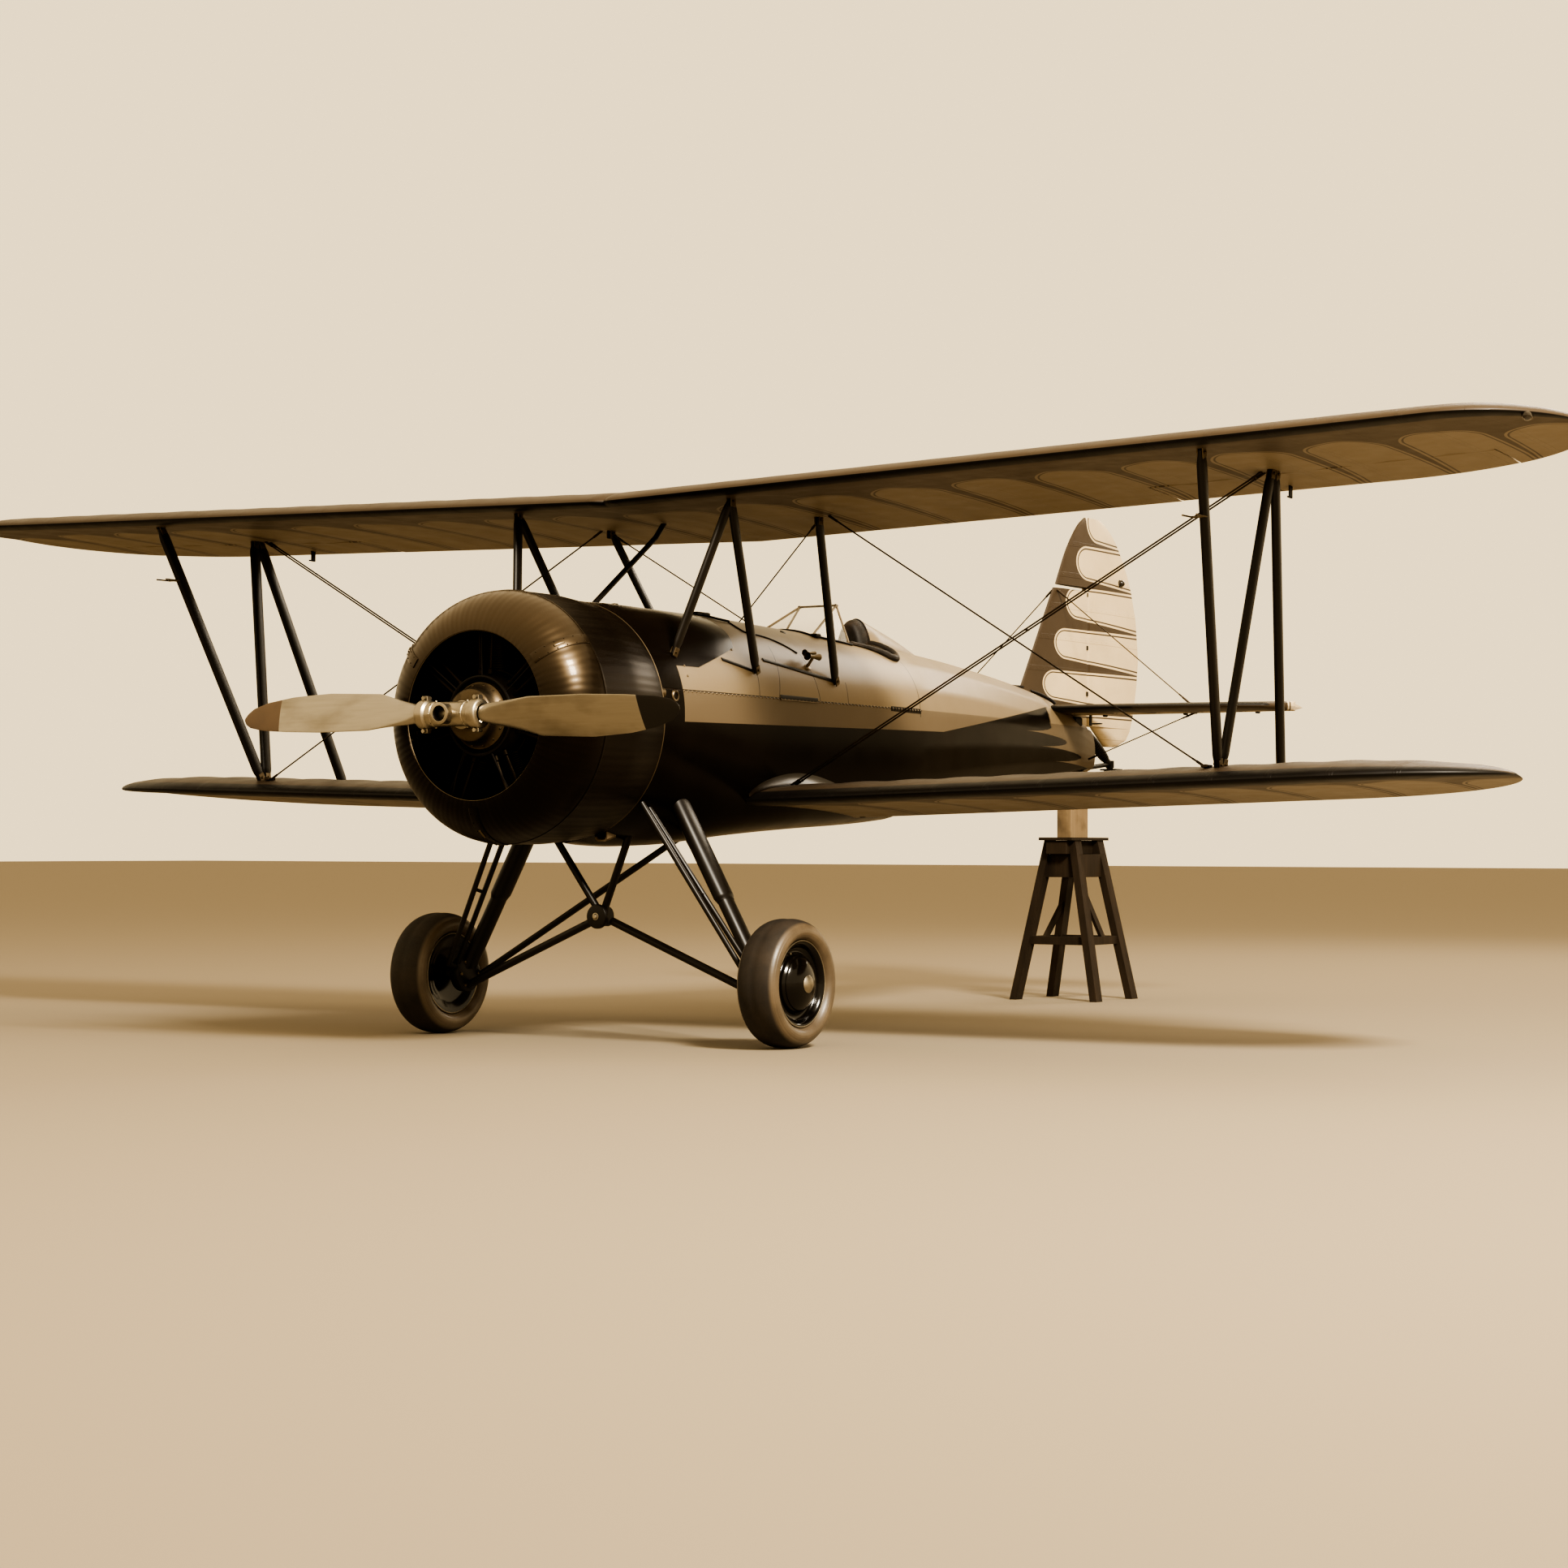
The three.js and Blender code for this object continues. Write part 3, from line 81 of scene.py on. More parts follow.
def flowing(table, at):
    """A row of the table, worked out by one smooth curve through all its rows."""
    last = len(table) - 1
    k = next((i for i, row in enumerate(table) if row[0] >= at and i), last)
    a, b = table[k - 1], table[k]
    before, after = table[max(k - 2, 0)], table[min(k + 1, last)]
    length = b[0] - a[0]
    share = (at - a[0]) / length

    def column(i):
        start = (b[i] - before[i]) / (b[0] - before[0]) * length
        end = (after[i] - a[i]) / (after[0] - a[0]) * length
        square, cube = share * share, share**3
        return (
            (2 * cube - 3 * square + 1) * a[i]
            + (cube - 2 * square + share) * start
            + (3 * square - 2 * cube) * b[i]
            + (cube - square) * end
        )

    return [at] + [column(i) for i in range(1, len(a))]


def spread(start, end, count):
    """Evenly spaced numbers, both ends included."""
    return [mix(start, end, i / (count - 1)) for i in range(count)]


def swell(count):
    """Numbers from 0 to 1 that lie closer together at both ends."""
    return [(1 - math.cos(math.pi * i / (count - 1))) / 2 for i in range(count)]


def easing(count):
    """Numbers from 0 to 1 that lie closer together towards 1."""
    return [math.sin(math.pi / 2 * s) for s in spread(0, 1, count)]


def arc(start, end, count):
    """Angles in radians between two angles given in degrees."""
    return [math.radians(d) for d in spread(start, end, count)]


def turns(count, shift=0.0):
    """Angles spread evenly round a full circle."""
    return [2 * math.pi * (k + shift) / count for k in range(count)]


def around(count, first, second, shift=0.0):
    """Directions spread evenly round a circle, from the first one towards the second."""
    return [first * math.cos(a) + second * math.sin(a) for a in turns(count, shift)]


# Building pieces

MERGE_DISTANCE = 2e-5  # in metres


class Shape:
    """Points and faces gathered from plain surfaces, turned into one piece at the end.

    A surface's finish is the number of its material in the list that the piece gets.
    """

    def __init__(self):
        self.points = []
        self.faces = []
        self.finishes = []

    def add(self, points, faces, finish=0):
        start = len(self.points)
        self.points += [Vector(p) for p in points]
        self.faces += [[start + i for i in face] for face in faces]
        self.finishes += [finish] * len(faces)
        return self

    def loft(self, rings, caps=True, finish=0, closed=True):
        """A skin over rings of equal count."""
        count = len(rings[0])
        faces = []
        for r in range(len(rings) - 1):
            for i in range(count if closed else count - 1):
                j = (i + 1) % count
                low, high = r * count, (r + 1) * count
                faces.append((low + i, low + j, high + j, high + i))
        if caps:
            faces.append(tuple(range(count)))
            faces.append(tuple(range((len(rings) - 1) * count, len(rings) * count)))
        return self.add([p for ring in rings for p in ring], faces, finish)

    def lathe(self, profile, centre, axis, steps=64, finish=0):
        """Pairs of radius and distance along the axis, turned round it."""
        axis = Vector(axis).normalized()
        across = axis.orthogonal().normalized()
        rings = [
            [Vector(centre) + axis * along + out * radius for radius, along in profile]
            for out in around(steps, across, axis.cross(across))
        ]
        return self.loft(rings + rings[:1], caps=False, finish=finish, closed=False)

    def bead(self, radius, along, thickness, centre, axis, steps, finish):
        """A round wire bent to a ring of that radius, at that distance along the axis."""
        profile = [
            (radius + thickness * math.cos(a), along + thickness * math.sin(a)) for a in arc(0, 360, 9)
        ]
        return self.lathe(profile, centre, axis, steps, finish)

    def tube(self, path, radius, sides=12, finish=0, flat=1.0, wide=UP):
        """A round or flattened tube through points; radius is one number or one for each point."""
        path = [Vector(p) for p in path]
        radii = radius if isinstance(radius, (list, tuple)) else [radius] * len(path)
        rings = []
        for centre, along, r in zip(path, directions(path), radii):
            across = Vector(wide) - along * along.dot(Vector(wide))
            across = across.normalized() if across.length > 1e-6 else along.orthogonal().normalized()
            side = along.cross(across)
            rings.append([
                centre + across * math.cos(a) * r + side * math.sin(a) * r * flat for a in turns(sides)
            ])
        return self.loft(rings, finish=finish)

    def block(self, centre, size, axes=(OUT, AFT, UP), finish=0, edge=0.0):
        """A board with chamfered edges along its three axes."""
        half = [s / 2 for s in size]
        rings = []
        for depth, inset in ((-1, edge), (-1, 0), (1, 0), (1, edge)):
            along = depth * (half[2] - (0 if inset else edge))
            x, y = half[0] - inset, half[1] - inset
            cut = max(edge * 0.6, 0.01)
            corners = [(x - cut, y), (x, y - cut), (x, cut - y), (x - cut, -y)]
            corners += [(-a, -b) for a, b in corners]
            rings.append([
                Vector(centre) + axes[0] * a + axes[1] * b + axes[2] * along for a, b in corners
            ])
        return self.loft(rings, finish=finish)

    def domes(self, places, radius, height, sides=8):
        """Small round heads, each given by its place and the direction that it stands out in."""
        profile = [(0.01, height), (radius * 0.6, height * 0.8), (radius, 0), (radius, -height)]
        for place, out in places:
            self.lathe(profile, place, out, sides)

    def finish(self, name, materials, body="root", slot=None, replaces=(), angle=40):
        """Makes the piece, hangs it on its body and hides the nodes that it replaces; the slot is not used.
        """
        mesh = bpy.data.meshes.new(name)
        mesh.from_pydata([metres(p) for p in self.points], [], self.faces)
        mesh.polygons.foreach_set("material_index", self.finishes)
        work = bmesh.new()
        work.from_mesh(mesh)
        bmesh.ops.remove_doubles(work, verts=work.verts, dist=MERGE_DISTANCE)
        bmesh.ops.recalc_face_normals(work, faces=work.faces)
        work.to_mesh(mesh)
        work.free()
        mesh.shade_smooth()
        mesh.set_sharp_from_angle(angle=math.radians(angle))
        for material in materials:
            mesh.materials.append(material)
        obj = bpy.data.objects.new(name, mesh)
        bpy.context.scene.collection.objects.link(obj)
        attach(obj, body)
        if replaces:
            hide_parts(*replaces)
        return obj


def directions(path):
    """The direction of a line of points at each of them."""
    last = len(path) - 1
    return [(path[min(k + 1, last)] - path[max(k - 1, 0)]).normalized() for k in range(last + 1)]


# Materials


class Field:
    """A number that varies over a surface; plain arithmetic on it adds Math nodes."""

    def __init__(self, tree, socket):
        self.tree = tree
        self.socket = socket

    def math(self, operation, *others, clamp=False):
        node = self.tree.nodes.new("ShaderNodeMath")
        node.operation = operation
        node.use_clamp = clamp
        for slot, value in zip(node.inputs, (self, *others)):
            if isinstance(value, Field):
                self.tree.links.new(value.socket, slot)
            else:
                slot.default_value = value
        return Field(self.tree, node.outputs[0])

    def __add__(self, other):
        return self.math("ADD", other)

    def __sub__(self, other):
        return self.math("SUBTRACT", other)

    def __rsub__(self, other):
        return self.math("MULTIPLY", -1.0).math("ADD", other)

    def __mul__(self, other):
        return self.math("MULTIPLY", other)

    def __truediv__(self, other):
        return self.math("DIVIDE", other)

    def size(self):
        return self.math("ABSOLUTE")

    def higher(self, other):
        return self.math("MAXIMUM", other)

    def power(self, other):
        return self.math("POWER", other)

    def saw(self, pitch, shift=0.0):
        """Distance to the nearest multiple of the pitch."""
        return (self - shift).math("PINGPONG", pitch / 2)

    def step(self, edge, soft=0.001):
        """0 below the edge and 1 above it, over a short ramp."""
        return ((self - edge) * (1 / soft) + 0.5).math("MULTIPLY", 1.0, clamp=True)

    def line(self, at, half, soft=0.0008):
        """1 on a line of that half width, 0 beside it."""
        return 1 - (self - at).size().step(half, soft)


class Surface:
    """A Principled material made of procedural nodes, in the object's own coordinates."""

    def __init__(self, name, **values):
        self.material = bpy.data.materials.new(name)
        self.material.use_nodes = True
        self.tree = self.material.node_tree
        self.shader = self.tree.nodes["Principled BSDF"]
        for key, value in values.items():
            self.shader.inputs[key.replace("_", " ")].default_value = value
        self.coordinates = self.tree.nodes.new("ShaderNodeTexCoord").outputs["Object"]
        self.height = None

    def place(self):
        """X, Y and Z as fields, in metres, with Y counted from the wheel axle."""
        node = self.tree.nodes.new("ShaderNodeSeparateXYZ")
        self.tree.links.new(self.coordinates, node.inputs[0])
        x, y, z = (Field(self.tree, node.outputs[i]) for i in range(3))
        return x, y + ORIGIN_Y / 1000, z

    def texture(self, kind, scale, stretch=(1, 1, 1)):
        """A texture node over the coordinates, which are stretched along the axes."""
        mapping = self.tree.nodes.new("ShaderNodeMapping")
        mapping.inputs["Scale"].default_value = stretch
        self.tree.links.new(self.coordinates, mapping.inputs["Vector"])
        node = self.tree.nodes.new(kind)
        node.inputs["Scale"].default_value = scale
        self.tree.links.new(mapping.outputs[0], node.inputs["Vector"])
        return node

    def noise(self, scale, detail=3.0, stretch=(1, 1, 1), roughness=0.5):
        """Soft noise round 0.5."""
        node = self.texture("ShaderNodeTexNoise", scale, stretch)
        node.inputs["Detail"].default_value = detail
        node.inputs["Roughness"].default_value = roughness
        return Field(self.tree, node.outputs[0])

    def cells(self, scale):
        """Distance to scattered points, for pores."""
        return Field(self.tree, self.texture("ShaderNodeTexVoronoi", scale).outputs["Distance"])

    def blend(self, first, second, share):
        """One colour turning into another as the field goes from 0 to 1."""
        node = self.tree.nodes.new("ShaderNodeMix")
        node.data_type = "RGBA"
        self.tree.links.new(share.socket, node.inputs[0])
        for slot, value in ((node.inputs[6], first), (node.inputs[7], second)):
            if isinstance(value, bpy.types.NodeSocket):
                self.tree.links.new(value, slot)
            else:
                slot.default_value = (*value, 1)
        return node.outputs[2]

    def set(self, name, value):
        """Links a field or a colour to one of the shader's inputs."""
        socket = value.socket if isinstance(value, Field) else value
        self.tree.links.new(socket, self.shader.inputs[name])

    def colour(self, socket):
        self.set("Base Color", socket)

    def bump(self, field, distance, strength=1.0):
        """Adds relief of that distance in metres."""
        node = self.tree.nodes.new("ShaderNodeBump")
        node.inputs["Strength"].default_value = strength
        node.inputs["Distance"].default_value = distance
        self.tree.links.new(field.socket, node.inputs["Height"])
        if self.height:
            self.tree.links.new(self.height, node.inputs["Normal"])
        self.height = node.outputs[0]
        self.set("Normal", self.height)


CREAM = (0.55, 0.45, 0.30)
CREAM_WORN = (0.42, 0.33, 0.205)
# Painted shade: the next colour darkens the cream on the undersides of the wings and tailplane.
CREAM_SHADED_BELOW = (0.23, 0.19, 0.14)
HULL_CREAM = (0.185, 0.142, 0.087)
HULL_WORN = (0.135, 0.10, 0.059)
# Painted shade: the next colour is the deck's cream darkened for the hull's upright side below the deck.
HULL_SIDE_SHADED = (0.085, 0.062, 0.038)
SHADED = (0.16, 0.13, 0.095)
DARK = (0.0040, 0.0026, 0.0016)
DARK_WORN = (0.011, 0.007, 0.0042)
BLACK = (0.006, 0.004, 0.0025)
BROWN = (0.043, 0.028, 0.0155)
BROWN_WORN = (0.06, 0.041, 0.024)
OUTLINE = (0.03, 0.018, 0.010)
SOOT = (0.014, 0.009, 0.0055)


# Painted patterns, in metres

TAPE_HALF, STITCH_PITCH, WEAVE_PITCH = 0.0155, 0.07, 0.0016
TAIL_SCALLOP = 0.265
FIN_PATTERN = SimpleNamespace(
    tips_y=5.81, tips_z=2.3, tips_bend=0.95, nose_y=4.481, nose_z=1.959, nose_slope=0.569, first=1.797,
)
TAIL_PATTERN = SimpleNamespace(
    tips_y=5.46, tips_bend=0.06, nose_y=4.54, nose_slope=0.2, first=0.07,
    edge_y=4.38, edge_slope=0.185, edge_width=0.12, edge_below_to=0.62,
)
SCALLOP_NOSE, SCALLOP_PITCH, SCALLOP_FIRST = 0.40, 0.448, 0.268  # behind the nose and along the span
LEFT_TIP_PAINT, RIGHT_TIP_PAINT = 1.06, 1.05  # from the shaft
COWL_SHINE_Z = 1.76
HULL = SimpleNamespace(
    # The side band between band_top and band_bottom is the deck's cream darkened as painted shade.
    band_top=1.700, band_bottom=1.550, band_slope=0.0155,
    sweep_from=2.6, sweep=0.125, sweep_z=1.589,
    finger_z=1.686, finger_pitch=0.085, finger_rake=3.1, finger_depth=0.6, finger_y=3.68,
    panel_edge=-0.13, fabric_y=2.33,
    # The pointed patch is a painted shadow of the upper wing on the deck behind the nose.
    patch_bend=0.06, patch_rise=0.30, patch_z=1.818, patch_tip=0.535, patch_top=2.09, patch_round=3.4,
    seams=(
        (0.577, 0.05, 1.70, 1.83), (0.769, 0.25, 1.70, 1.97), (1.190, -0.30, 1.70, 1.94),
        (1.487, -0.05, 1.70, 1.81), (2.310, -0.10, 1.66, 2.03),
    ),
)


def dusty(surface, clean, worn, scale=3.0, amount=0.55):
    """A paint colour with broad faded patches and fine specks."""
    patches = surface.noise(scale, 5.0, roughness=0.6)
    specks = surface.noise(scale * 40, 2.0)
    share = (patches.step(0.56, 0.3) * 0.7 + specks.step(0.66, 0.1) * 0.3) * amount
    return surface.blend(clean, worn, share)


def scallops(along, aft, nose_line, trailing, pitch, first):
    """Shares of brown paint and of its outline: cream fields with round noses between brown spikes.

    Spikes end at `trailing`, one each pitch from `first`; `nose_line` gives the place of a field's nose.
    """
    within = (along - first).math("WRAP", pitch, 0.0)
    reach = (trailing - aft).higher(0.0)
    low = reach * 0.05 + 0.005
    high = reach * -0.01 + (pitch - 0.005)
    nose = nose_line(along - within + pitch / 2)
    ahead = (1 - (aft - nose) / (pitch * 0.53)).higher(0.0)
    off = (within - (low + high) / 2) / ((high - low) / 2)
    edge = ((ahead * ahead + off * off).power(0.5) - 1) * (pitch * 0.42)
    return edge.step(0.0, 0.002), edge.line(-0.017, 0.0045, 0.002)


def fabric_finish(name, pitch, first_rib, lengthwise, paint):
    """Doped fabric: weave, tapes over the ribs with stitch marks and painted shade along their edges, and
    stains over the painted pattern.

    The ribs follow each other along X, or along Z on the upright tail.
    """
    surface = Surface(name, Coat_Weight=0.05, Coat_Roughness=0.2, Specular_IOR_Level=0.3)
    x, y, z = surface.place()
    along, across = {"x": (x.size(), y), "z": (z, y)}[lengthwise]
    tape = along.saw(pitch, first_rib)
    tape_edge_shade = tape.line(TAPE_HALF, 0.0012, 0.0016)
    stitch = across.saw(STITCH_PITCH).line(0.0, 0.006, 0.003) * tape.line(0.0, 0.003, 0.002)
    weave = x.saw(WEAVE_PITCH) + y.saw(WEAVE_PITCH) + z.saw(WEAVE_PITCH)
    streaks = surface.noise(5.0, 4.0, stretch=(1.0, 0.25, 1.0))
    # The tapes' edges are lined with painted shade; the stitches and streaks are stains.
    stains = tape_edge_shade * 0.22 + stitch * 0.12 + streaks.step(0.62, 0.2) * 0.10
    surface.colour(surface.blend(paint(surface, x, y, z), SOOT, stains))
    surface.set("Roughness", surface.noise(9.0, 4.0) * 0.25 + 0.4)
    surface.bump(tape.line(0.0, TAPE_HALF, 0.002) + stitch * 0.8, 0.0007)
    surface.bump(weave, 0.00025, 0.35)
    return surface.material


def scalloped(surface, cream, brown, outline):
    """The cream colour with brown spikes and their outline painted over it."""
    paint = surface.blend(cream, dusty(surface, BROWN, BROWN_WORN, 2.4, 0.6), brown)
    return surface.blend(paint, OUTLINE, outline * 0.95)


def fin_paint(surface, x, y, z):
    """Spikes on the upright tail: their tips follow the rudder's edge, their noses the fin's slope."""
    at = FIN_PATTERN
    above = (z - at.tips_z).higher(0.0)
    tips = at.tips_y - above * above * at.tips_bend
    brown, outline = scallops(
        z, y, lambda middle: (middle - at.nose_z) * at.nose_slope + at.nose_y, tips, TAIL_SCALLOP, at.first)
    return scalloped(surface, dusty(surface, CREAM, CREAM_WORN), brown, outline)


def tailplane_paint(surface, x, y, z):
    """Spikes behind a near-black leading edge, which stops short of the tips' undersides; the cream is
    darker below as painted shade.
    """
    at = TAIL_PATTERN
    out = x.size()
    under = 1 - (z - TAILPLANE_Z / 1000).step(0.0, 0.004)
    # Painted shade: the cream is darker on the underside.
    cream = surface.blend(dusty(surface, CREAM, CREAM_WORN), CREAM_SHADED_BELOW, under * 0.7)
    leading = out * at.edge_slope + at.edge_y
    tips = at.tips_y - out * out * at.tips_bend
    brown, outline = scallops(
        out, y, lambda middle: middle * at.nose_slope + at.nose_y, tips, TAIL_SCALLOP, at.first)
    paint = scalloped(surface, cream, brown, outline)
    outer = out.step(at.edge_below_to, 0.02)
    edge = (1 - (y - leading).step(at.edge_width, 0.01)) * (1 - under * outer)
    return surface.blend(paint, DARK, edge)


def wing_paint(wing, strip, soft, rise):
    """Cream fields behind a brown leading edge; painted shade darkens the underside, and a near-black strip
    of painted shade lies under the nose.

    The strip of painted shade reaches back by `strip` and up the nose by the share `rise` of the chord.
    """
    chord = wing.chord / 1000

    def curve(at, start):
        share = ((at - start / 1000) * (1000 / (wing.half_span - start))).higher(0.0)
        return 1 - (1 - share * share).higher(0.0).power(0.5)

    def leading(at):
        return curve(at, wing.front_round) * (wing.tip_front * chord) + wing.root_y / 1000

    def paint(surface, x, y, z):
        out = x.size()
        front = leading(out)
        aft_edge = wing.root_y / 1000 + chord
        trailing = curve(out, wing.back_round) * ((wing.tip_front - 1) * chord) + aft_edge
        behind = y - front
        share = behind / chord
        hump = share * (1 - share) * (4 * wing.camber * chord)
        lift = (1 - (trailing - front) / chord) * (TIP_LIFT * chord)
        slope = out * wing.dihedral - (y - wing.root_y / 1000) * wing.incidence
        middle = slope + hump + lift + wing.root_z / 1000
        under = 1 - (z - middle).step(0.0, 0.006)
        # Painted shade: the cream is darker on the underside.
        cream = surface.blend(dusty(surface, CREAM, CREAM_WORN), CREAM_SHADED_BELOW, under * 0.8)
        brown, outline = scallops(
            out, y, lambda at: leading(at) + SCALLOP_NOSE, trailing, SCALLOP_PITCH, SCALLOP_FIRST)
        # More painted shade over the whole underside, brown spikes included.
        paint = surface.blend(scalloped(surface, cream, brown, outline), SHADED, under * 0.35)
        # Painted shade: a near-black strip under the nose, rising a little up its front.
        low = 1 - (z - middle - (trailing - front) * rise).step(0.0, 0.004)
        return surface.blend(paint, DARK, (1 - behind.step(strip, soft)) * low)

    return paint


def gloss_paint(name, clean, worn, roughness, coat=0.1, shine=0.2):
    """Glossy enamel with slight waves, dust and small chips."""
    surface = Surface(name, Coat_Weight=coat, Coat_Roughness=0.08, Specular_IOR_Level=shine)
    surface.colour(dusty(surface, clean, worn, 2.2, 0.5))
    surface.set("Roughness", surface.noise(6.0, 5.0) * 0.22 + (roughness - 0.06))
    surface.bump(surface.noise(3.5, 2.0), 0.0022, 0.35)
    surface.bump(surface.noise(420.0, 1.0), 0.00012, 0.4)
    return surface.material


def cowl_paint(name):
    """Dark enamel with fine streaks round the nose, and a painted reflection in its specular tint: warm
    shine above the shaft, dull below it and on the side behind the ring.
    """
    surface = Surface(name, Coat_Roughness=0.12, Specular_IOR_Level=0.85, Coat_Tint=(1.0, 0.82, 0.6, 1))
    x, y, z = surface.place()
    surface.colour(dusty(surface, DARK, DARK_WORN, 2.2, 0.5))
    # Painted reflection: the share that shines, standing in for bright sky above the shaft and dark ground
    # below it and along the side.
    upper = z.step(COWL_SHINE_Z, 0.5) * (1 - y.step(FULL_Y / 1000, 0.02) * 0.9)
    turn = (z - THRUST_Z / 1000).math("ARCTAN2", x)
    streaks = (turn * 41).math("SINE") * 0.25 + (turn * 97 + 1).math("SINE") * 0.25 + 0.5
    surface.set("Specular Tint", surface.blend((0.1, 0.07, 0.045), (1.0, 0.78, 0.52), upper))
    surface.set("Coat Weight", upper * 0.3)
    surface.set("Roughness", surface.noise(6.0, 5.0) * 0.12 + streaks * 0.1 + 0.26)
    surface.bump(streaks, 0.0014, 0.6)
    surface.bump(surface.noise(3.5, 2.0), 0.0022, 0.35)
    surface.set("Coat Normal", surface.height)
    return surface.material


def bare_metal(name, colour, roughness, stain=SOOT, amount=0.3):
    """Metal with brush marks and stains."""
    surface = Surface(name, Metallic=1.0)
    marks = surface.noise(60.0, 3.0, stretch=(1, 1, 30))
    stains = surface.noise(14.0, 4.0)
    surface.colour(surface.blend(colour, stain, stains.step(0.6, 0.25) * amount + marks * 0.12))
    surface.set("Roughness", marks * 0.18 + stains * 0.15 + (roughness - 0.14))
    surface.bump(marks, 0.00025, 0.5)
    return surface.material


def rubber(name, middle_x, axle_y, axle_z, half_width, radius):
    """Worn rubber: a dusty dark tread and smoother sidewalls with fine mould rings, painted paler as a
    sheen.
    """
    surface = Surface(name, Coat_Roughness=0.35)
    x, y, z = surface.place()
    y, z = y - axle_y, z - axle_z
    out = (y * y + z * z).power(0.5)
    side = (x.size() - middle_x).size().step(half_width * 0.72, half_width * 0.16)
    side = side * (1 - out.step(radius * 0.93, radius * 0.04))
    fine = surface.noise(90.0, 4.0)
    dust = surface.noise(8.0, 5.0).step(0.5, 0.35)
    tread = surface.blend((0.008, 0.0055, 0.0035), (0.035, 0.024, 0.015), dust * 0.6 + fine * 0.2)
    # The sidewall's paler colour is a painted sheen, with dust over it.
    wall = surface.blend((0.115, 0.084, 0.052), (0.06, 0.043, 0.026), dust * 0.7 + fine * 0.25)
    surface.colour(surface.blend(tread, wall, side))
    surface.set("Roughness", fine * 0.2 + side * -0.32 + 0.66)
    surface.set("Coat Weight", side * 0.3)
    surface.bump(fine, 0.0006, 0.6)
    surface.bump(out.saw(0.011).line(0.0, 0.0012, 0.001) * side, 0.0006, 0.5)
    return surface.material


def glass(name):
    """Thin cellulose panes with faint scratches."""
    surface = Surface(name, Alpha=0.13, Roughness=0.05)
    streaks = surface.noise(30.0, 4.0, stretch=(1, 1, 0.2))
    surface.colour(surface.blend((0.42, 0.37, 0.28), (0.62, 0.56, 0.44), streaks.step(0.6, 0.3) * 0.6))
    return surface.material


def blade_metal(name):
    """Polished aluminium brushed along the blade; its tip is black on the left and tan on the right."""
    surface = Surface(name)
    x, _, z = surface.place()
    brush = surface.noise(70.0, 4.0, stretch=(0.06, 1, 1))
    smudge = surface.noise(6.0, 4.0, stretch=(0.5, 1, 1)).step(0.62, 0.25)
    metal = surface.blend((0.42, 0.385, 0.32), (0.18, 0.155, 0.12), brush * 0.35 + smudge * 0.5)
    slant = x + (z - THRUST_Z / 1000) * 0.15
    left, right = slant.step(LEFT_TIP_PAINT, 0.002), 1 - slant.step(-RIGHT_TIP_PAINT, 0.002)
    paint = surface.blend(metal, dusty(surface, BLACK, DARK_WORN, 9.0), left)
    paint = surface.blend(paint, dusty(surface, (0.085, 0.052, 0.027), (0.05, 0.031, 0.017), 9.0), right)
    surface.colour(paint)
    painted = left + right
    surface.set("Metallic", 1 - painted)
    surface.set("Roughness", brush * 0.14 + painted * 0.04 + 0.3)
    surface.bump(brush, 0.0002, 0.4)
    return surface.material


def wood(name, pale, dark):
    """Sawn timber with upright grain and grime."""
    surface = Surface(name, Specular_IOR_Level=0.25)
    grain = (1, 1, 0.06)
    lines = surface.noise(70.0, 4.0, stretch=grain)
    broad = surface.noise(9.0, 3.0, stretch=grain)
    grime = surface.noise(5.0, 4.0)
    tone = surface.blend(pale, dark, lines * 0.55 + broad.step(0.5, 0.3) * 0.4)
    surface.colour(surface.blend(tone, SOOT, grime.step(0.58, 0.2) * 0.5))
    surface.set("Roughness", lines * 0.2 + 0.62)
    surface.bump(lines, 0.0012, 0.8)
    return surface.material


def leather(name):
    """Dark hide with a pebbled grain and rubbed high spots."""
    surface = Surface(name, Specular_IOR_Level=0.35)
    pebble = surface.cells(260.0)
    rub = surface.noise(18.0, 4.0)
    surface.colour(surface.blend((0.008, 0.005, 0.003), (0.032, 0.02, 0.012), rub.step(0.58, 0.2) * 0.8))
    surface.set("Roughness", pebble * 0.3 + 0.46)
    surface.bump(pebble, 0.0009, 0.7)
    return surface.material


def highest(fields):
    """The largest of several fields."""
    result, *others = fields
    for field in others:
        result = result.higher(field)
    return result


def deck_seam(y, z, at, slope, low, high):
    """A joint across the deck: station Y, its change with the height, lowest and highest Z."""
    seam = (y - (z - HULL.band_top) * slope).line(at, 0.0028, 0.0015)
    return seam * z.step(low, 0.002) * (1 - z.step(high, 0.002))


def hull_belly(surface, y, z):
    """Share of dark paint below the side band, ending in ragged fingers at the stern."""
    rising = (y - HULL.sweep_from) * HULL.sweep + HULL.sweep_z
    edge = (y * HULL.band_slope + HULL.band_bottom).higher(rising)
    below = (HULL.finger_z - z).higher(0.0)
    ends = (below * (math.pi / HULL.finger_pitch)).math("COSINE").size().power(0.5)
    ragged = surface.noise(26.0, 2.0) * 0.05
    stern = below * HULL.finger_rake + ends * HULL.finger_depth + ragged + HULL.finger_y
    return (1 - (z - edge).step(0.0, 0.003)) * (1 - (y - stern).step(0.0, 0.03))


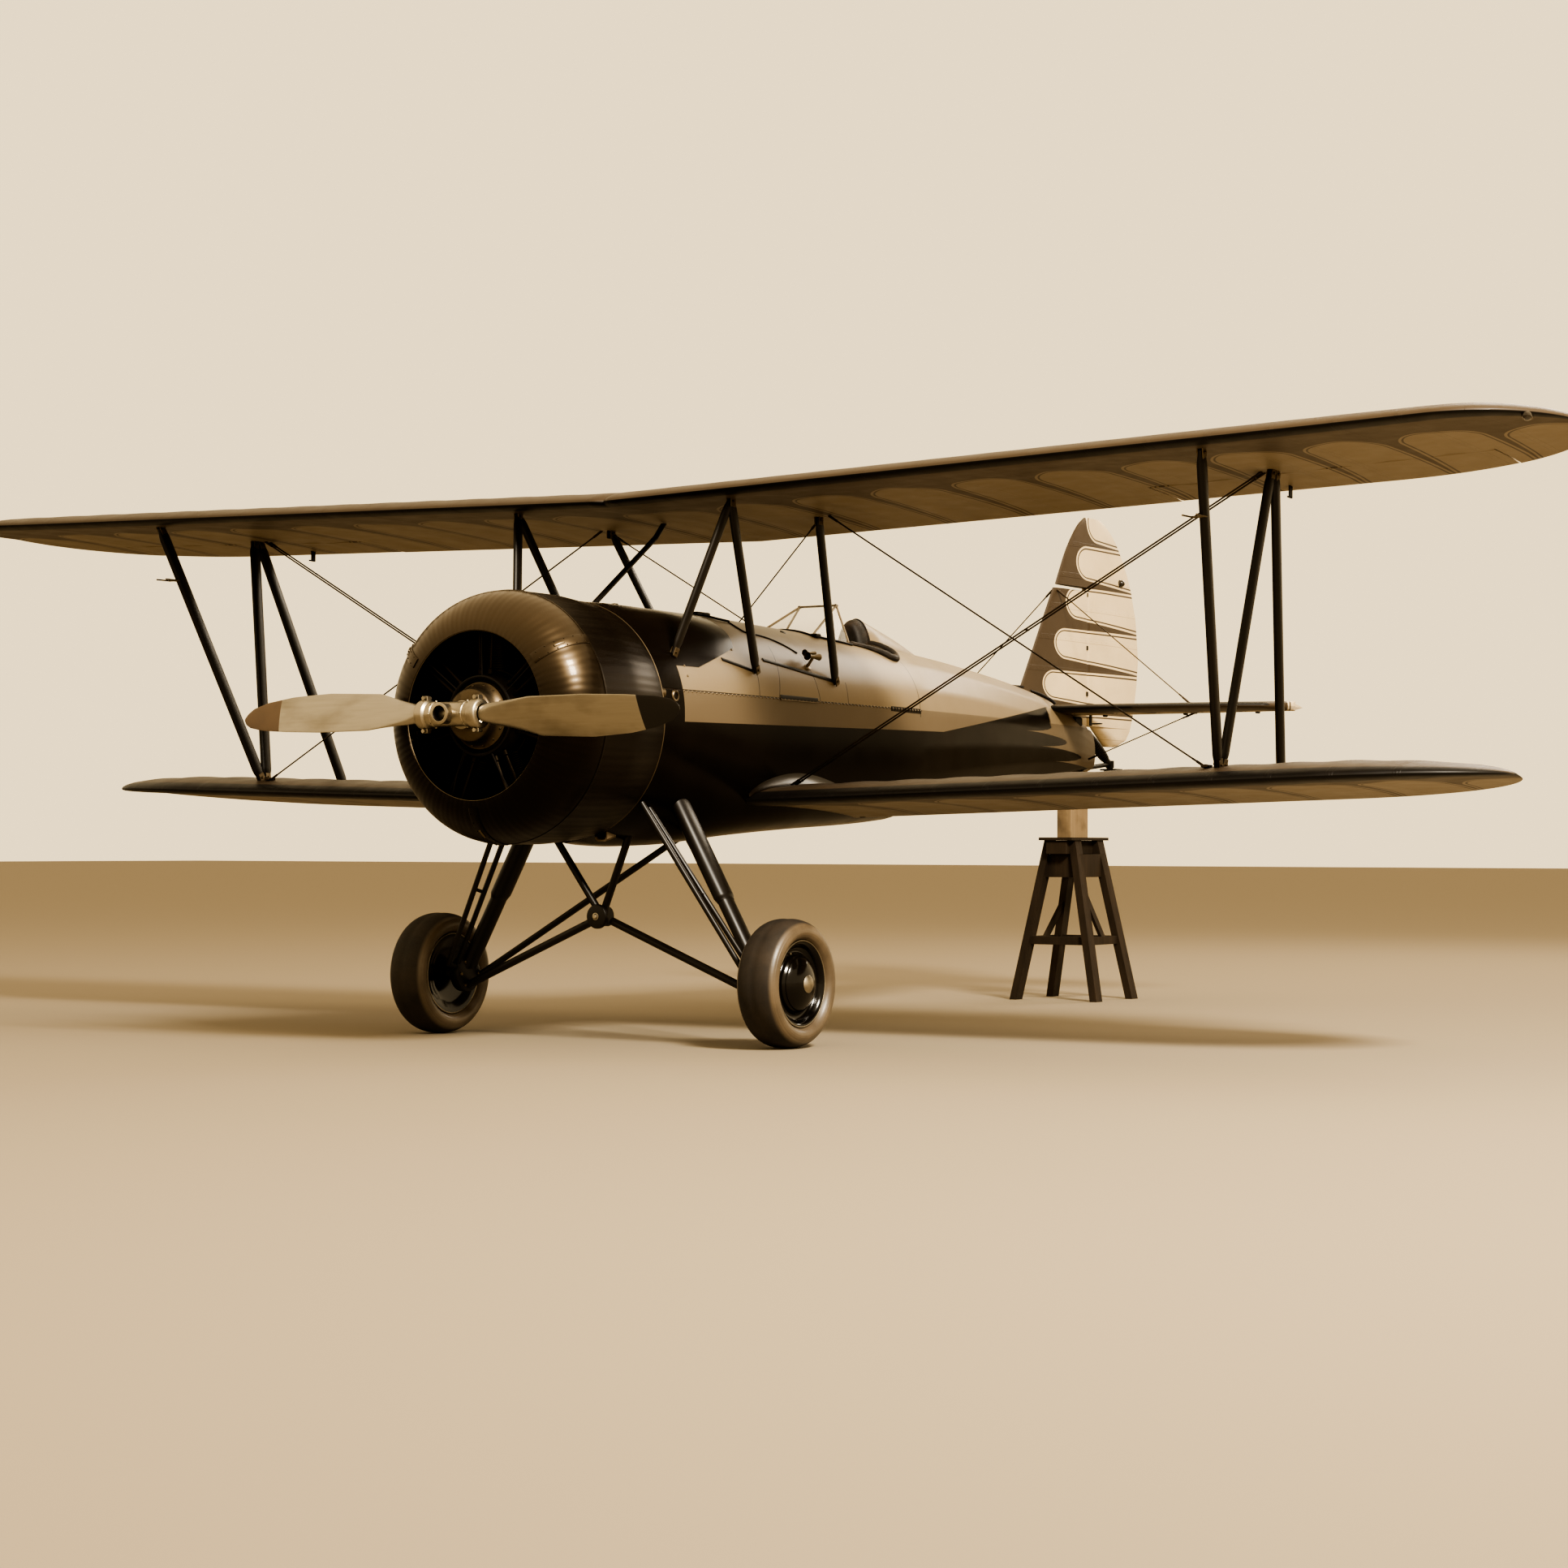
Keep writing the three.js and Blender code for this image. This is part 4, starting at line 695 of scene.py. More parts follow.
def hull_finish(name):
    """The fuselage's paint: dark nose, cream deck, dark belly; the side band is the cream darkened as
    painted shade, and a pointed patch behind the nose is painted shadow of the upper wing.
    """
    surface = Surface(name, Coat_Roughness=0.3, Specular_IOR_Level=0.08)
    _, y, z = surface.place()
    cream = dusty(surface, HULL_CREAM, HULL_WORN, 2.5, 0.5)
    # Painted shade: the side below the deck gets a darker copy of the cream.
    cream = surface.blend(cream, HULL_SIDE_SHADED, z.step(HULL.band_top, 0.004) * -0.8 + 0.8)
    dark = dusty(surface, DARK, DARK_WORN, 2.0, 0.5)
    nose = 1 - y.step(HULL.panel_edge, 0.002)
    # Painted shadow: the upper wing's shadow, laid on the deck behind the nose as a pointed dark patch.
    patch_low = (y - HULL.patch_bend).higher(0.0) * HULL.patch_rise + HULL.patch_z
    patch_front = HULL.patch_tip - (HULL.patch_top - z).power(2.0) * HULL.patch_round
    painted_wing_shadow = (z - patch_low).step(0.0, 0.004) * (1 - (y - patch_front).step(0.0, 0.004))
    dark_share = highest([hull_belly(surface, y, z), nose, painted_wing_shadow])
    light_share = 1 - dark_share
    paint = surface.blend(cream, dark, dark_share)
    surface.set("Specular Tint", surface.blend((1, 1, 1), (0.3, 0.21, 0.13), dark_share))
    long_seam = (z - (HULL.band_top - y * 0.002)).line(0.0, 0.003, 0.0015)
    long_seam = long_seam * (1 - y.step(HULL.fabric_y, 0.002))
    seams = highest([deck_seam(y, z, *seam) for seam in HULL.seams] + [long_seam])
    surface.colour(surface.blend(paint, SOOT, seams * 0.85))
    surface.set("Roughness", surface.noise(7.0, 5.0) * 0.2 + light_share * 0.32 + 0.12)
    surface.set("Coat Weight", light_share * 0.3 + z.step(1.9, 0.4) * 0.12)
    surface.bump(surface.noise(3.0, 2.0), 0.002, 0.35)
    surface.bump(1 - seams, 0.003, 1.0)
    return surface.material


# The wings

UPPER = SimpleNamespace(
    root_y=-75, root_z=2642, chord=1450, half_span=4720, front_round=4230, back_round=3560, tip_front=0.42,
    thickness=0.07, camber=0.035, dihedral=0.0268, incidence=0.05,
)
LOWER = SimpleNamespace(
    root_y=551, root_z=1170, chord=1290, half_span=4230, front_round=3400, back_round=3130, tip_front=0.39,
    thickness=0.085, camber=0.04, dihedral=0.0287, incidence=0.055,
)
TIP_LIFT = 0.012
CAMBER_AT = 0.4
FRONT_SPAR, REAR_SPAR = 0.132, 0.68
RIB_PITCH, RIB_START = 290, 70
FABRIC_SAG = 5.0
RING_STEP = 24
UPPER_ROOT_X, LOWER_ROOT_X = 0.2, 300
NOTCH_DEPTH, NOTCH_REACH, NOTCH_LENGTH = 34, 55, 220
AILERON_FROM, AILERON_TO, AILERON_HINGE, AILERON_NOSE, AILERON_GAP = 2450, 4200, 0.76, 24, 9
STRUT_UPPER_X, STRUT_LOWER_X, CABANE_X = 3143, 2943, 650


def round_in(s):
    """How far a quarter circle has drawn in at the share s of its length."""
    return 1 - math.sqrt(max(0.0, 1 - s * s))


def wing_at(wing, x):
    """Nose station, chord, height and share of the root chord at the distance x from the middle."""
    front = max(0, x - wing.front_round) / (wing.half_span - wing.front_round)
    back = max(0, x - wing.back_round) / (wing.half_span - wing.back_round)
    nose = wing.root_y + wing.tip_front * wing.chord * round_in(front)
    tail = wing.root_y + wing.chord - (1 - wing.tip_front) * wing.chord * round_in(back)
    chord = tail - nose
    share = chord / wing.chord
    z = wing.root_z + wing.dihedral * x + wing.incidence * (wing.root_y - nose)
    return nose, chord, share, z + (1 - share) * TIP_LIFT * wing.chord


def aerofoil_half(thickness, u):
    """Half thickness of a plain aerofoil at the share u of its chord, as a share of the chord."""
    shape = 0.2969 * math.sqrt(u) - 0.126 * u - 0.3516 * u**2 + 0.2843 * u**3 - 0.1015 * u**4
    return 5 * thickness * shape


def section(wing, u, face):
    """Height of the upper (face 1) or lower (face -1) skin at the share u of the chord."""
    if u < CAMBER_AT:
        mean = wing.camber / CAMBER_AT**2 * (2 * CAMBER_AT * u - u * u)
    else:
        mean = wing.camber / (1 - CAMBER_AT) ** 2 * (1 - 2 * CAMBER_AT + 2 * CAMBER_AT * u - u * u)
    return mean + face * aerofoil_half(wing.thickness, u)


def sag(x, u):
    """How far the fabric lies below the rib line."""
    bay = math.sin(math.pi * (x - RIB_START) / RIB_PITCH) ** 2
    return FABRIC_SAG * bay * smooth_step(0.08, 0.2, u) * (1 - smooth_step(0.9, 1.0, u))


def skin_point(wing, x, u, face, side=1):
    """A point on the wing's skin, with the fabric's sag."""
    nose, chord, share, z = wing_at(wing, x)
    height = z + section(wing, u, face) * chord - u * chord * wing.incidence
    return Vector((side * x, nose + u * chord, height - face * sag(x, u) * share))


def spar_point(wing, x, u, face, side):
    """A point on the skin above a place given by the root chord's share u."""
    nose, chord, _, _ = wing_at(wing, x)
    return skin_point(wing, x, (wing.root_y + u * wing.chord - nose) / chord, face, side)


def wing_ring(wing, x, side, back=1.0, steps=34):
    """The skin's outline at one station; beside the middle its nose is drawn in to a small notch."""
    parts = [back * s for s in swell(steps)]
    ring = [skin_point(wing, x, u, 1, side) for u in reversed(parts)]
    ring += [skin_point(wing, x, u, -1, side) for u in parts[1:]]
    depth = NOTCH_DEPTH * max(0.0, 1 - x / NOTCH_REACH) ** 1.5
    front = min(p.y for p in ring)
    for p in ring:
        p.y += depth * (1 - smooth_step(0, NOTCH_LENGTH, p.y - front))
    return ring


def build_wing(level, wing, word, side, bays, finish):
    """One wing's fixed skin: bays with their ends and the share of the chord they reach, then the tip."""
    shape = Shape()
    for start, end, back in bays:
        count = max(3, int((end - start) / RING_STEP))
        shape.loft([wing_ring(wing, x, side, back) for x in spread(start, end, count)])
    tip_from = bays[-1][1]
    stations = [mix(tip_from, wing.half_span, s) for s in easing(60)]
    stations[-1] = wing.half_span - 1.5
    shape.loft([wing_ring(wing, x, side) for x in stations])
    shape.finish(f"wing_skin_{level}_{word}", [finish], slot="paint_cream",
                 replaces=[f"{level}_wing_{word}"])


def hinge_point(x, side):
    """Halfway between the upper and the lower skin on the aileron's hinge line."""
    top, low = (skin_point(UPPER, x, AILERON_HINGE, face, side) for face in (1, -1))
    return (top + low) / 2


def build_aileron(word, side, finish):
    rings = []
    ends = [hinge_point(x, side) for x in (AILERON_FROM, AILERON_TO)]
    for x in spread(AILERON_FROM + AILERON_GAP, AILERON_TO - AILERON_GAP, 74):
        nose, chord, _, _ = wing_at(UPPER, x)
        centre = ends[0].lerp(ends[1], (x - AILERON_FROM) / (AILERON_TO - AILERON_FROM))
        parts = spread((centre.y - nose) / chord, 1.0, 16)
        ring = [skin_point(UPPER, x, u, 1, side) for u in reversed(parts)]
        ring += [centre + Vector((0, -math.sin(a), math.cos(a))) * AILERON_NOSE for a in arc(8, 172, 12)]
        ring += [skin_point(UPPER, x, u, -1, side) for u in parts[:-1]]
        rings.append(ring)
    Shape().loft(rings).finish(
        f"aileron_skin_{word}", [finish], body=f"aileron_{word}", slot="paint_cream",
        replaces=[f"aileron_{word}"])


# The fuselage

# station Y, half width, top Z, bottom Z, height of the widest line, roundness of the top and of the bottom
FUSELAGE = [
    (-380, 562, 2130, 980, 1556, 2.0, 2.0),
    (-180, 556, 2140, 955, 1580, 2.0, 2.2),
    (20, 545, 2140, 950, 1610, 2.0, 2.4),
    (300, 530, 2135, 960, 1650, 2.1, 2.8),
    (800, 505, 2127, 1003, 1680, 2.1, 3.2),
    (1300, 480, 2110, 1035, 1690, 2.1, 3.4),
    (2300, 425, 2080, 1090, 1690, 2.1, 3.4),
    (3200, 330, 2020, 1195, 1685, 2.1, 3.2),
    (4218, 185, 1910, 1320, 1650, 2.1, 3.0),
    (4800, 105, 1790, 1392, 1600, 2.1, 3.0),
    (5123, 50, 1693, 1431, 1560, 2.1, 3.0),
]
STRINGERS = (-90, -50, -25, -9, 0, 17, 42, 66, 90)  # degrees round the section, on the left side
FLAT_STEPS = 6
FABRIC_FROM, FABRIC_BLEND, FLATNESS = 2330, 140, 0.8
HULL_FRONT, STERN_NOTCH_Y, STERN_STEP_Z, STERN_END = -380, 5058, 1690, 5123
COCKPIT_FRONT, COCKPIT_BACK, COCKPIT_HALF, COCKPIT_FLOOR, DECK_ABOVE_FLOOR = 1720, 2290, 225, 1330, 300


def hull_point(y, degrees):
    """A point of the smooth hull; degrees are counted from the left side up."""
    _, half, top, bottom, middle, round_top, round_bottom = flowing(FUSELAGE, y)
    c, s = math.cos(math.radians(degrees)), math.sin(math.radians(degrees))
    power = 2 / (round_top if s > 0 else round_bottom)
    height = top - middle if s > 0 else middle - bottom
    return Vector((
        math.copysign(half * abs(c) ** power, c),
        y,
        middle + math.copysign(height * abs(s) ** power, s),
    ))


def deck_z(x, y):
    """Height of the deck at a distance from the middle."""
    _, half, top, _, middle, round_top, _ = flowing(FUSELAGE, y)
    share = min(1.0, abs(x / half))
    return middle + (top - middle) * (1 - share**round_top) ** (1 / round_top)


def hull_side(y, z, side=1):
    """A point of the hull's side at a height."""
    _, half, top, bottom, middle, round_top, round_bottom = flowing(FUSELAGE, y)
    height, power = (top - middle, round_top) if z > middle else (middle - bottom, round_bottom)
    share = min(1.0, abs(z - middle) / height)
    return Vector((side * half * (1 - share**power) ** (1 / power), y, z))


def hull_ring(y):
    """One ring of the skin: round in front, flats between stringers behind."""
    flat = smooth_step(FABRIC_FROM, FABRIC_FROM + FABRIC_BLEND, y) * FLATNESS
    half_ring = []
    for low, high in zip(STRINGERS, STRINGERS[1:]):
        start, end = hull_point(y, low), hull_point(y, high)
        for k in range(FLAT_STEPS):
            share = k / FLAT_STEPS
            half_ring.append(hull_point(y, mix(low, high, share)).lerp(start.lerp(end, share), flat))
    half_ring.append(hull_point(y, 90))
    ring = half_ring + [Vector((-p.x, p.y, p.z)) for p in reversed(half_ring[1:-1])]
    if y > STERN_NOTCH_Y:
        for p in ring:
            p.z = min(p.z, STERN_STEP_Z)
    return ring


def build_hull(finish, lining):
    """The skin from the firewall to the stern, with the cockpit's mouth cut in it."""
    stations = spread(HULL_FRONT, STERN_NOTCH_Y, 137) + [STERN_NOTCH_Y + 1, STERN_NOTCH_Y + 32, STERN_END]
    shape = Shape().loft([hull_ring(y) for y in stations])
    hull = shape.finish("fuselage_skin", [finish, lining], slot="paint_cream",
                        replaces=["fuselage", "fuselage_nose"], angle=60)
    open_cockpit(hull)


def open_cockpit(hull):
    """Cuts the cockpit's mouth out of the skin and drops straight walls and a floor into it."""
    work = bmesh.new()
    work.from_mesh(hull.data)
    low = metres((-COCKPIT_HALF, COCKPIT_FRONT, COCKPIT_FLOOR))
    high = metres((COCKPIT_HALF, COCKPIT_BACK, COCKPIT_FLOOR + DECK_ABOVE_FLOOR))
    for spot, normal in ((low, OUT), (high, OUT), (low, AFT), (high, AFT)):
        parts = [*work.verts, *work.edges, *work.faces]
        bmesh.ops.bisect_plane(work, geom=parts, plane_co=spot, plane_no=normal)

    def within(point, margin=0.0):
        return all(low[i] - margin < point[i] < high[i] + margin for i in (0, 1))

    deck = [f for f in work.faces if within(f.calc_center_median()) and f.calc_center_median().z > high.z]
    walls = bmesh.ops.extrude_face_region(work, geom=deck)["geom"]
    for part in walls:
        if isinstance(part, bmesh.types.BMVert):
            part.co.z = low.z
    bmesh.ops.delete(work, geom=[f for f in deck if f.is_valid], context="FACES_ONLY")
    for face in work.faces:
        on_floor = any(abs(v.co.z - low.z) < 1e-6 for v in face.verts)
        if on_floor and all(within(v.co, 1e-5) for v in face.verts):
            face.material_index = 1
    bmesh.ops.recalc_face_normals(work, faces=work.faces)
    work.to_mesh(hull.data)
    work.free()


# The nose

THRUST_Z = 1556
SHAFT = Vector((0, 0, THRUST_Z))
LIP_Y, FULL_Y, STRAIGHT_Y, SKIRT_Y = -1052, -815, -600, -330
COWL_RADIUS, OPENING, COWL_WALL, COWL_DRAW = 597, 397, 9, 18
COWL_STEPS = 168
NOSE_TURNS = arc(0, 90, 22)
SEAM_DEGREES = (36, 144, 270)  # where the nose ring's three parts meet, counted from the left side up
STRAP_SECTION = ((-26, -3), (-26, 2.5), (-21, 5), (21, 5), (26, 2.5), (26, -3))
SCOOP = (  # station Y, inner and outer X, lowest Z
    (-205, 176, 224, 1000), (-262, 168, 228, 986), (-318, 162, 232, 974),
)
SCOOP_TOP, SCOOP_CORNER, SCOOP_DEPTH, SCOOP_MOUTH = 1085, 12, 46, Vector((197, -318, 1030))


def nose_curve(a, wall=0):
    """Radius and station of the rounded nose ring at the angle a from its lip."""
    rise, back = COWL_RADIUS - OPENING - wall, FULL_Y - LIP_Y - wall
    return OPENING + rise * math.sin(a), FULL_Y - back * math.cos(a)


def build_cowl(finish, metal):
    """The rounded nose ring, the skirt behind it, and their bands and straps."""
    outer = [nose_curve(a) for a in NOSE_TURNS]
    inner = [nose_curve(a, COWL_WALL) for a in NOSE_TURNS]
    profile = outer + inner[::-1] + [(OPENING - 2.5, LIP_Y + 4.5)] + outer[:1]
    Shape().lathe(profile, SHAFT, AFT, COWL_STEPS).finish(
        "cowl_nose", [finish], slot="paint_dark", replaces=["cowl_ring"])
    r, rear = COWL_RADIUS, COWL_RADIUS - COWL_DRAW
    outside = [(r, FULL_Y + 2), (r + 0.5, STRAIGHT_Y - 100), (r, STRAIGHT_Y)]
    shares = spread(0.1, 1, 12)
    outside += [(mix(r, rear, smooth_step(0, 1, s)), mix(STRAIGHT_Y, SKIRT_Y, s)) for s in shares]
    skirt = outside + [(radius - COWL_WALL, y) for radius, y in reversed(outside)] + outside[:1]
    Shape().lathe(skirt, SHAFT, AFT, COWL_STEPS).finish(
        "cowl_side", [finish], slot="paint_dark", replaces=["cowl_skirt"])
    bands = Shape()
    hoop = [(r + h, FULL_Y - 1 + w) for h, w in ((-1, -6), (2, -6), (3, 0), (2, 6), (-1, 6), (-1, -6))]
    bands.lathe(hoop, SHAFT, AFT, COWL_STEPS)
    bands.bead(OPENING - 1, LIP_Y + 6, 3.5, SHAFT, AFT, COWL_STEPS, 1)
    bands.bead(rear - 2, SKIRT_Y - 3, 4, SHAFT, AFT, COWL_STEPS, 1)
    for turn in SEAM_DEGREES:
        cowl_strap(bands, math.radians(turn))
    bands.finish("cowl_bands", [finish, metal], slot="paint_dark")


def cowl_strap(shape, turn):
    """A flat strap over a joint of the nose ring, from its lip to its full radius, with a latch on it."""
    out = Vector((math.cos(turn), 0, math.sin(turn)))
    across = Vector((-math.sin(turn), 0, math.cos(turn)))
    rise, back = COWL_RADIUS - OPENING, FULL_Y - LIP_Y
    rings = []
    for a in NOSE_TURNS[2:]:
        radius, y = nose_curve(a)
        spot = SHAFT + out * radius + AFT * y
        normal = (out * math.sin(a) / rise + -AFT * math.cos(a) / back).normalized()
        rings.append([spot + across * w + normal * h for w, h in STRAP_SECTION])
    shape.loft(rings)
    for ring in rings[2:-1:3]:
        outward = (ring[2] - ring[0]).normalized()
        shape.domes([(ring[i].lerp(ring[5 - i], 0.06), outward) for i in (2, 3)], 3.5, 3)
    before, middle, after = rings[8:11]
    along = (after[2] - before[2]).normalized()
    shape.block(middle[2].lerp(middle[3], 0.5), (12, 54, 9), (across, along, across.cross(along)), 1, 2)


def build_scoop(finish):
    """A small air intake under the cowling, open in front."""
    rings = []
    for y, a, b, low in SCOOP:
        c = SCOOP_CORNER
        outline = ((a, SCOOP_TOP), (b, SCOOP_TOP), (b, low + c), (b - c, low), (a + c, low), (a, low + c))
        rings.append([Vector((x, y, z)) for x, z in outline])
    mouth = [p.lerp(SCOOP_MOUTH, 0.16) for p in rings[-1]]
    inside = [p + AFT * SCOOP_DEPTH for p in mouth]
    Shape().loft([*rings, mouth, inside]).finish("air_scoop", [finish], slot="steel", angle=30)


PROP_PLANE_Y, PROP_RADIUS, HUB_HALF = -1205, 1274, 180
HUB_PROFILE = [  # radius and distance from the shaft, for one half of the barrel
    (57, 0), (57, 86), (60, 89), (60, 96), (57, 99), (57, 122), (63, 126), (68, 131), (69, 150),
    (68, 170), (64, 175), (58, 178), (44, 179.6),
]
HUB_BOSS = [(36, 95), (46, 95), (50, 92), (50, 78), (47, 74), (47, 20)]
HUB_CAP = [(0.01, 50), (32, 50), (33, 92), (36, 95)]
HUB_REAR = [(50, 20), (54, 62), (66, 70), (66, 94.5), (34, 94.5)]
CLAMP_BOLT = [(0.01, -27), (10, -27), (10, -19), (6, -18), (6, 18), (10, 19), (10, 27), (0.01, 27)]


def build_hub(bright, dark):
    """The barrel that holds the blades, with clamp ears and a ring of bolts at each end."""
    centre = SHAFT + AFT * PROP_PLANE_Y
    shape = Shape()
    shape.lathe([(r, -x) for r, x in reversed(HUB_PROFILE)] + HUB_PROFILE[1:], centre, OUT, 72)
    shape.lathe(HUB_BOSS, centre, -AFT, 56)
    shape.lathe(HUB_CAP, centre, -AFT, 56, 1)
    shape.lathe(HUB_REAR, centre, AFT, 56)
    for _, side in SIDES:
        for up in (-1, 1):
            ear = centre + OUT * side * 150 + UP * up * 74
            shape.block(ear, (34, 30, 24), edge=3)
            shape.lathe(CLAMP_BOLT, ear + UP * up * 2, AFT, 6)
        for out in around(8, AFT, UP):
            shape.lathe([(0.01, 5), (5, 4), (6, -2)], centre + OUT * side * 92.5 + out * 60, out, 6)
    shape.finish("hub_body", [bright, dark], body="propeller", slot="steel", replaces=["propeller_hub"])


CYLINDERS, CYLINDER_Y = 7, -850
GEAR_NOSE = [
    (34, -1109.6), (34, -1097), (60, -1095), (106, -1091), (120, -1083), (126, -1070), (127, -1040),
    (148, -1008), (156, -1004), (156, -998), (150, -995),
]
CRANKCASE = [
    (150, -995), (168, -986), (190, -966), (206, -950), (213, -940), (215, -930), (215, -905),
    (221, -902), (221, -893), (215, -890), (215, -775), (206, -748), (190, -730), (190, -385), (60, -385),
]


def build_engine(metal, bright, dark):
    """Finned cylinders round a crankcase with a bright nose cover."""
    shape = Shape()
    shape.lathe(GEAR_NOSE, SHAFT, AFT, 72, 1)
    shape.lathe(CRANKCASE, SHAFT, AFT, 72)
    shape.bead(182, -1000, 9, SHAFT, AFT, 72, 2)
    for out in around(14, UP, OUT, 0.5):
        shape.lathe([(0.01, 9), (6, 8), (8, 3), (8, -4)], SHAFT + out * 140 - AFT * 1010, -AFT, 6, 1)
    for up in around(CYLINDERS, UP, OUT):
        cylinder(shape, SHAFT + AFT * CYLINDER_Y, up, AFT.cross(up))
    shape.finish("engine_body", [metal, bright, dark], slot="engine_metal", replaces=["engine"])


def fins(heights, root, edge, thickness, slope):
    """The part of a cylinder's profile that carries cooling fins."""
    profile = []
    for low in heights:
        profile += [(root, low), (edge, low + slope), (edge, low + slope + thickness)]
        profile.append((root, low + 2 * slope + thickness))
    return profile


def cylinder(shape, root, up, side):
    """A finned barrel and head with rocker boxes, push rods and a spark plug with its lead."""
    profile = [(80, 205), (80, 216), (66, 218), *fins(range(224, 424, 11), 67, 86, 2.5, 1)]
    profile += [(67, 428), (80, 432), *fins(range(438, 528, 13), 78, 93, 3, 1.5)]
    profile += [(72, 535), (64, 545), (40, 547.5), (0.01, 547.5)]
    shape.lathe(profile, root, up, 36)
    for turn in (-1, 1):
        box = root + up * 505 + side * turn * 42 - AFT * 68
        shape.block(box, (38, 94, 44), (side, AFT, up), 0, 7)
        shape.lathe([(0.01, 5), (7, 4), (9, -2)], box + up * 22, up, 6, 1)
        rod_foot = root + up * 198 + side * turn * 30 - AFT * 107
        rod_head = root + up * 484 + side * turn * 42 - AFT * 106
        shape.tube([rod_foot, rod_head], 8, 14)
        shape.lathe([(14, -16), (14, 6), (8, 12)], rod_foot + up * 14, up, 16)
    plug = root + up * 470 - AFT * 92
    shape.lathe([(11, -6), (11, 8), (7, 10), (7, 34), (0.01, 36)], plug, -AFT, 6, 1)
    ring = root + up * 186 + side * 12 - AFT * 150
    lead = [plug - AFT * 30, plug - AFT * 44 - up * 14, plug - AFT * 46 - up * 90]
    shape.tube([*lead, plug.lerp(ring, 0.6) - AFT * 20, ring], 4, 8, 2)


# part of the radius, width, thickness, angle in degrees, how far the middle lies behind the axis
BLADE = [
    ((HUB_HALF + 0.3) / PROP_RADIUS, 76, 76, 40, 0),
    (0.185, 118, 66, 39, 4),
    (0.29, 164, 44, 34, 14),
    (0.37, 205, 34, 31, 22),
    (0.61, 206, 21, 24, 24),
    (0.78, 178, 14, 19, 20),
    (0.9, 140, 10, 16.5, 12),
    (0.965, 96, 8, 15, 5),
    (0.99, 54, 7, 15, 1),
    (1.0, 18, 6, 15, 0),
]


def blade_ring(side, part):
    """A blade's section: round at its root, sharp-edged further out."""
    _, width, thickness, degrees, behind = between(BLADE, part)
    angle = math.radians(degrees)
    lens = smooth_step(0.15, 0.3, part)
    ring = []
    for turn in turns(40):
        through = math.sin(turn) * mix(1.0, abs(math.sin(turn)) ** 0.35, lens)
        w, t = math.cos(turn) * width / 2 - behind, through * thickness / 2
        ring.append(Vector((
            side * part * PROP_RADIUS,
            PROP_PLANE_Y - w * math.sin(angle) + t * math.cos(angle),
            THRUST_Z + side * (w * math.cos(angle) + t * math.sin(angle)),
        )))
    return ring


def build_blade(word, side, finish):
    rings = [blade_ring(side, mix(BLADE[0][0], 1, s)) for s in easing(90)]
    Shape().loft(rings).finish(
        f"blade_{word}", [finish], body="propeller", slot="blade_metal",
        replaces=[f"propeller_blade_{word}"], angle=50)


# Wheels

WHEEL_X, WHEEL_Z = 1052, 306
TYRE_INNER, TYRE_OUTER, TYRE_WIDTH, TYRE_BEAD = 192, 306, 220, 76
TREAD_RINGS, TREAD_HALF_ARC, TREAD_DEPTH = 6, 42, 2.2

# the wheel's disc: radius and distance outward
WHEEL_BACK = [
    (0.01, -60), (120, -60), (150, -66), (176, -TYRE_BEAD - 6), (200, -TYRE_BEAD - 9),
    (205, -TYRE_BEAD - 5), (205, -TYRE_BEAD), (191, -TYRE_BEAD + 1),
]
WHEEL_RIM = [
    (191, TYRE_BEAD - 1), (205, TYRE_BEAD), (206, TYRE_BEAD + 5), (203, TYRE_BEAD + 9),
    (197, TYRE_BEAD + 9), (188, TYRE_BEAD + 4),
]
WHEEL_FACE = [
    (181, 70), (176, 58), (170, 50), (160, 46), (152, 45), (146, 47), (142, 52), (139, 60), (134, 68),
    (128, 72), (127, 74), (129, 77), (128, 80), (122, 86), (108, 97), (88, 108), (64, 117), (40, 122.5),
    (24, 124.5), (23, 127), (21, 128), (0.01, 129),
]
HUB_RING = [(0.01, 137), (16, 136), (31, 131), (42, 123), (45, 112)]


def tyre_profile():
    """Radius and distance from the wheel's middle, with shallow rings in the tread."""
    middle = TYRE_INNER + 0.47 * (TYRE_OUTER - TYRE_INNER)
    lip = TYRE_INNER + 0.12 * (TYRE_OUTER - TYRE_INNER)
    profile = [(TYRE_INNER, -TYRE_BEAD), (lip, -TYRE_BEAD)]
    for degrees in spread(-125, 125, 72):
        angle = math.radians(degrees)
        lean = math.copysign(abs(math.sin(angle)) ** 0.8, math.sin(angle))
        rise = TYRE_OUTER - middle if math.cos(angle) > 0 else middle - TYRE_INNER
        groove = max(0.0, math.cos(math.radians(degrees * TREAD_RINGS))) ** 6
        groove = TREAD_DEPTH * groove if abs(degrees) < TREAD_HALF_ARC else 0
        wall = 0.992 if 66 < abs(degrees) < 71 else 1
        profile.append((middle + rise * math.cos(angle) - groove, (TYRE_WIDTH / 2 - 0.5) * lean * wall))
    return profile + [(lip, TYRE_BEAD), (TYRE_INNER, TYRE_BEAD), (TYRE_INNER, -TYRE_BEAD)]


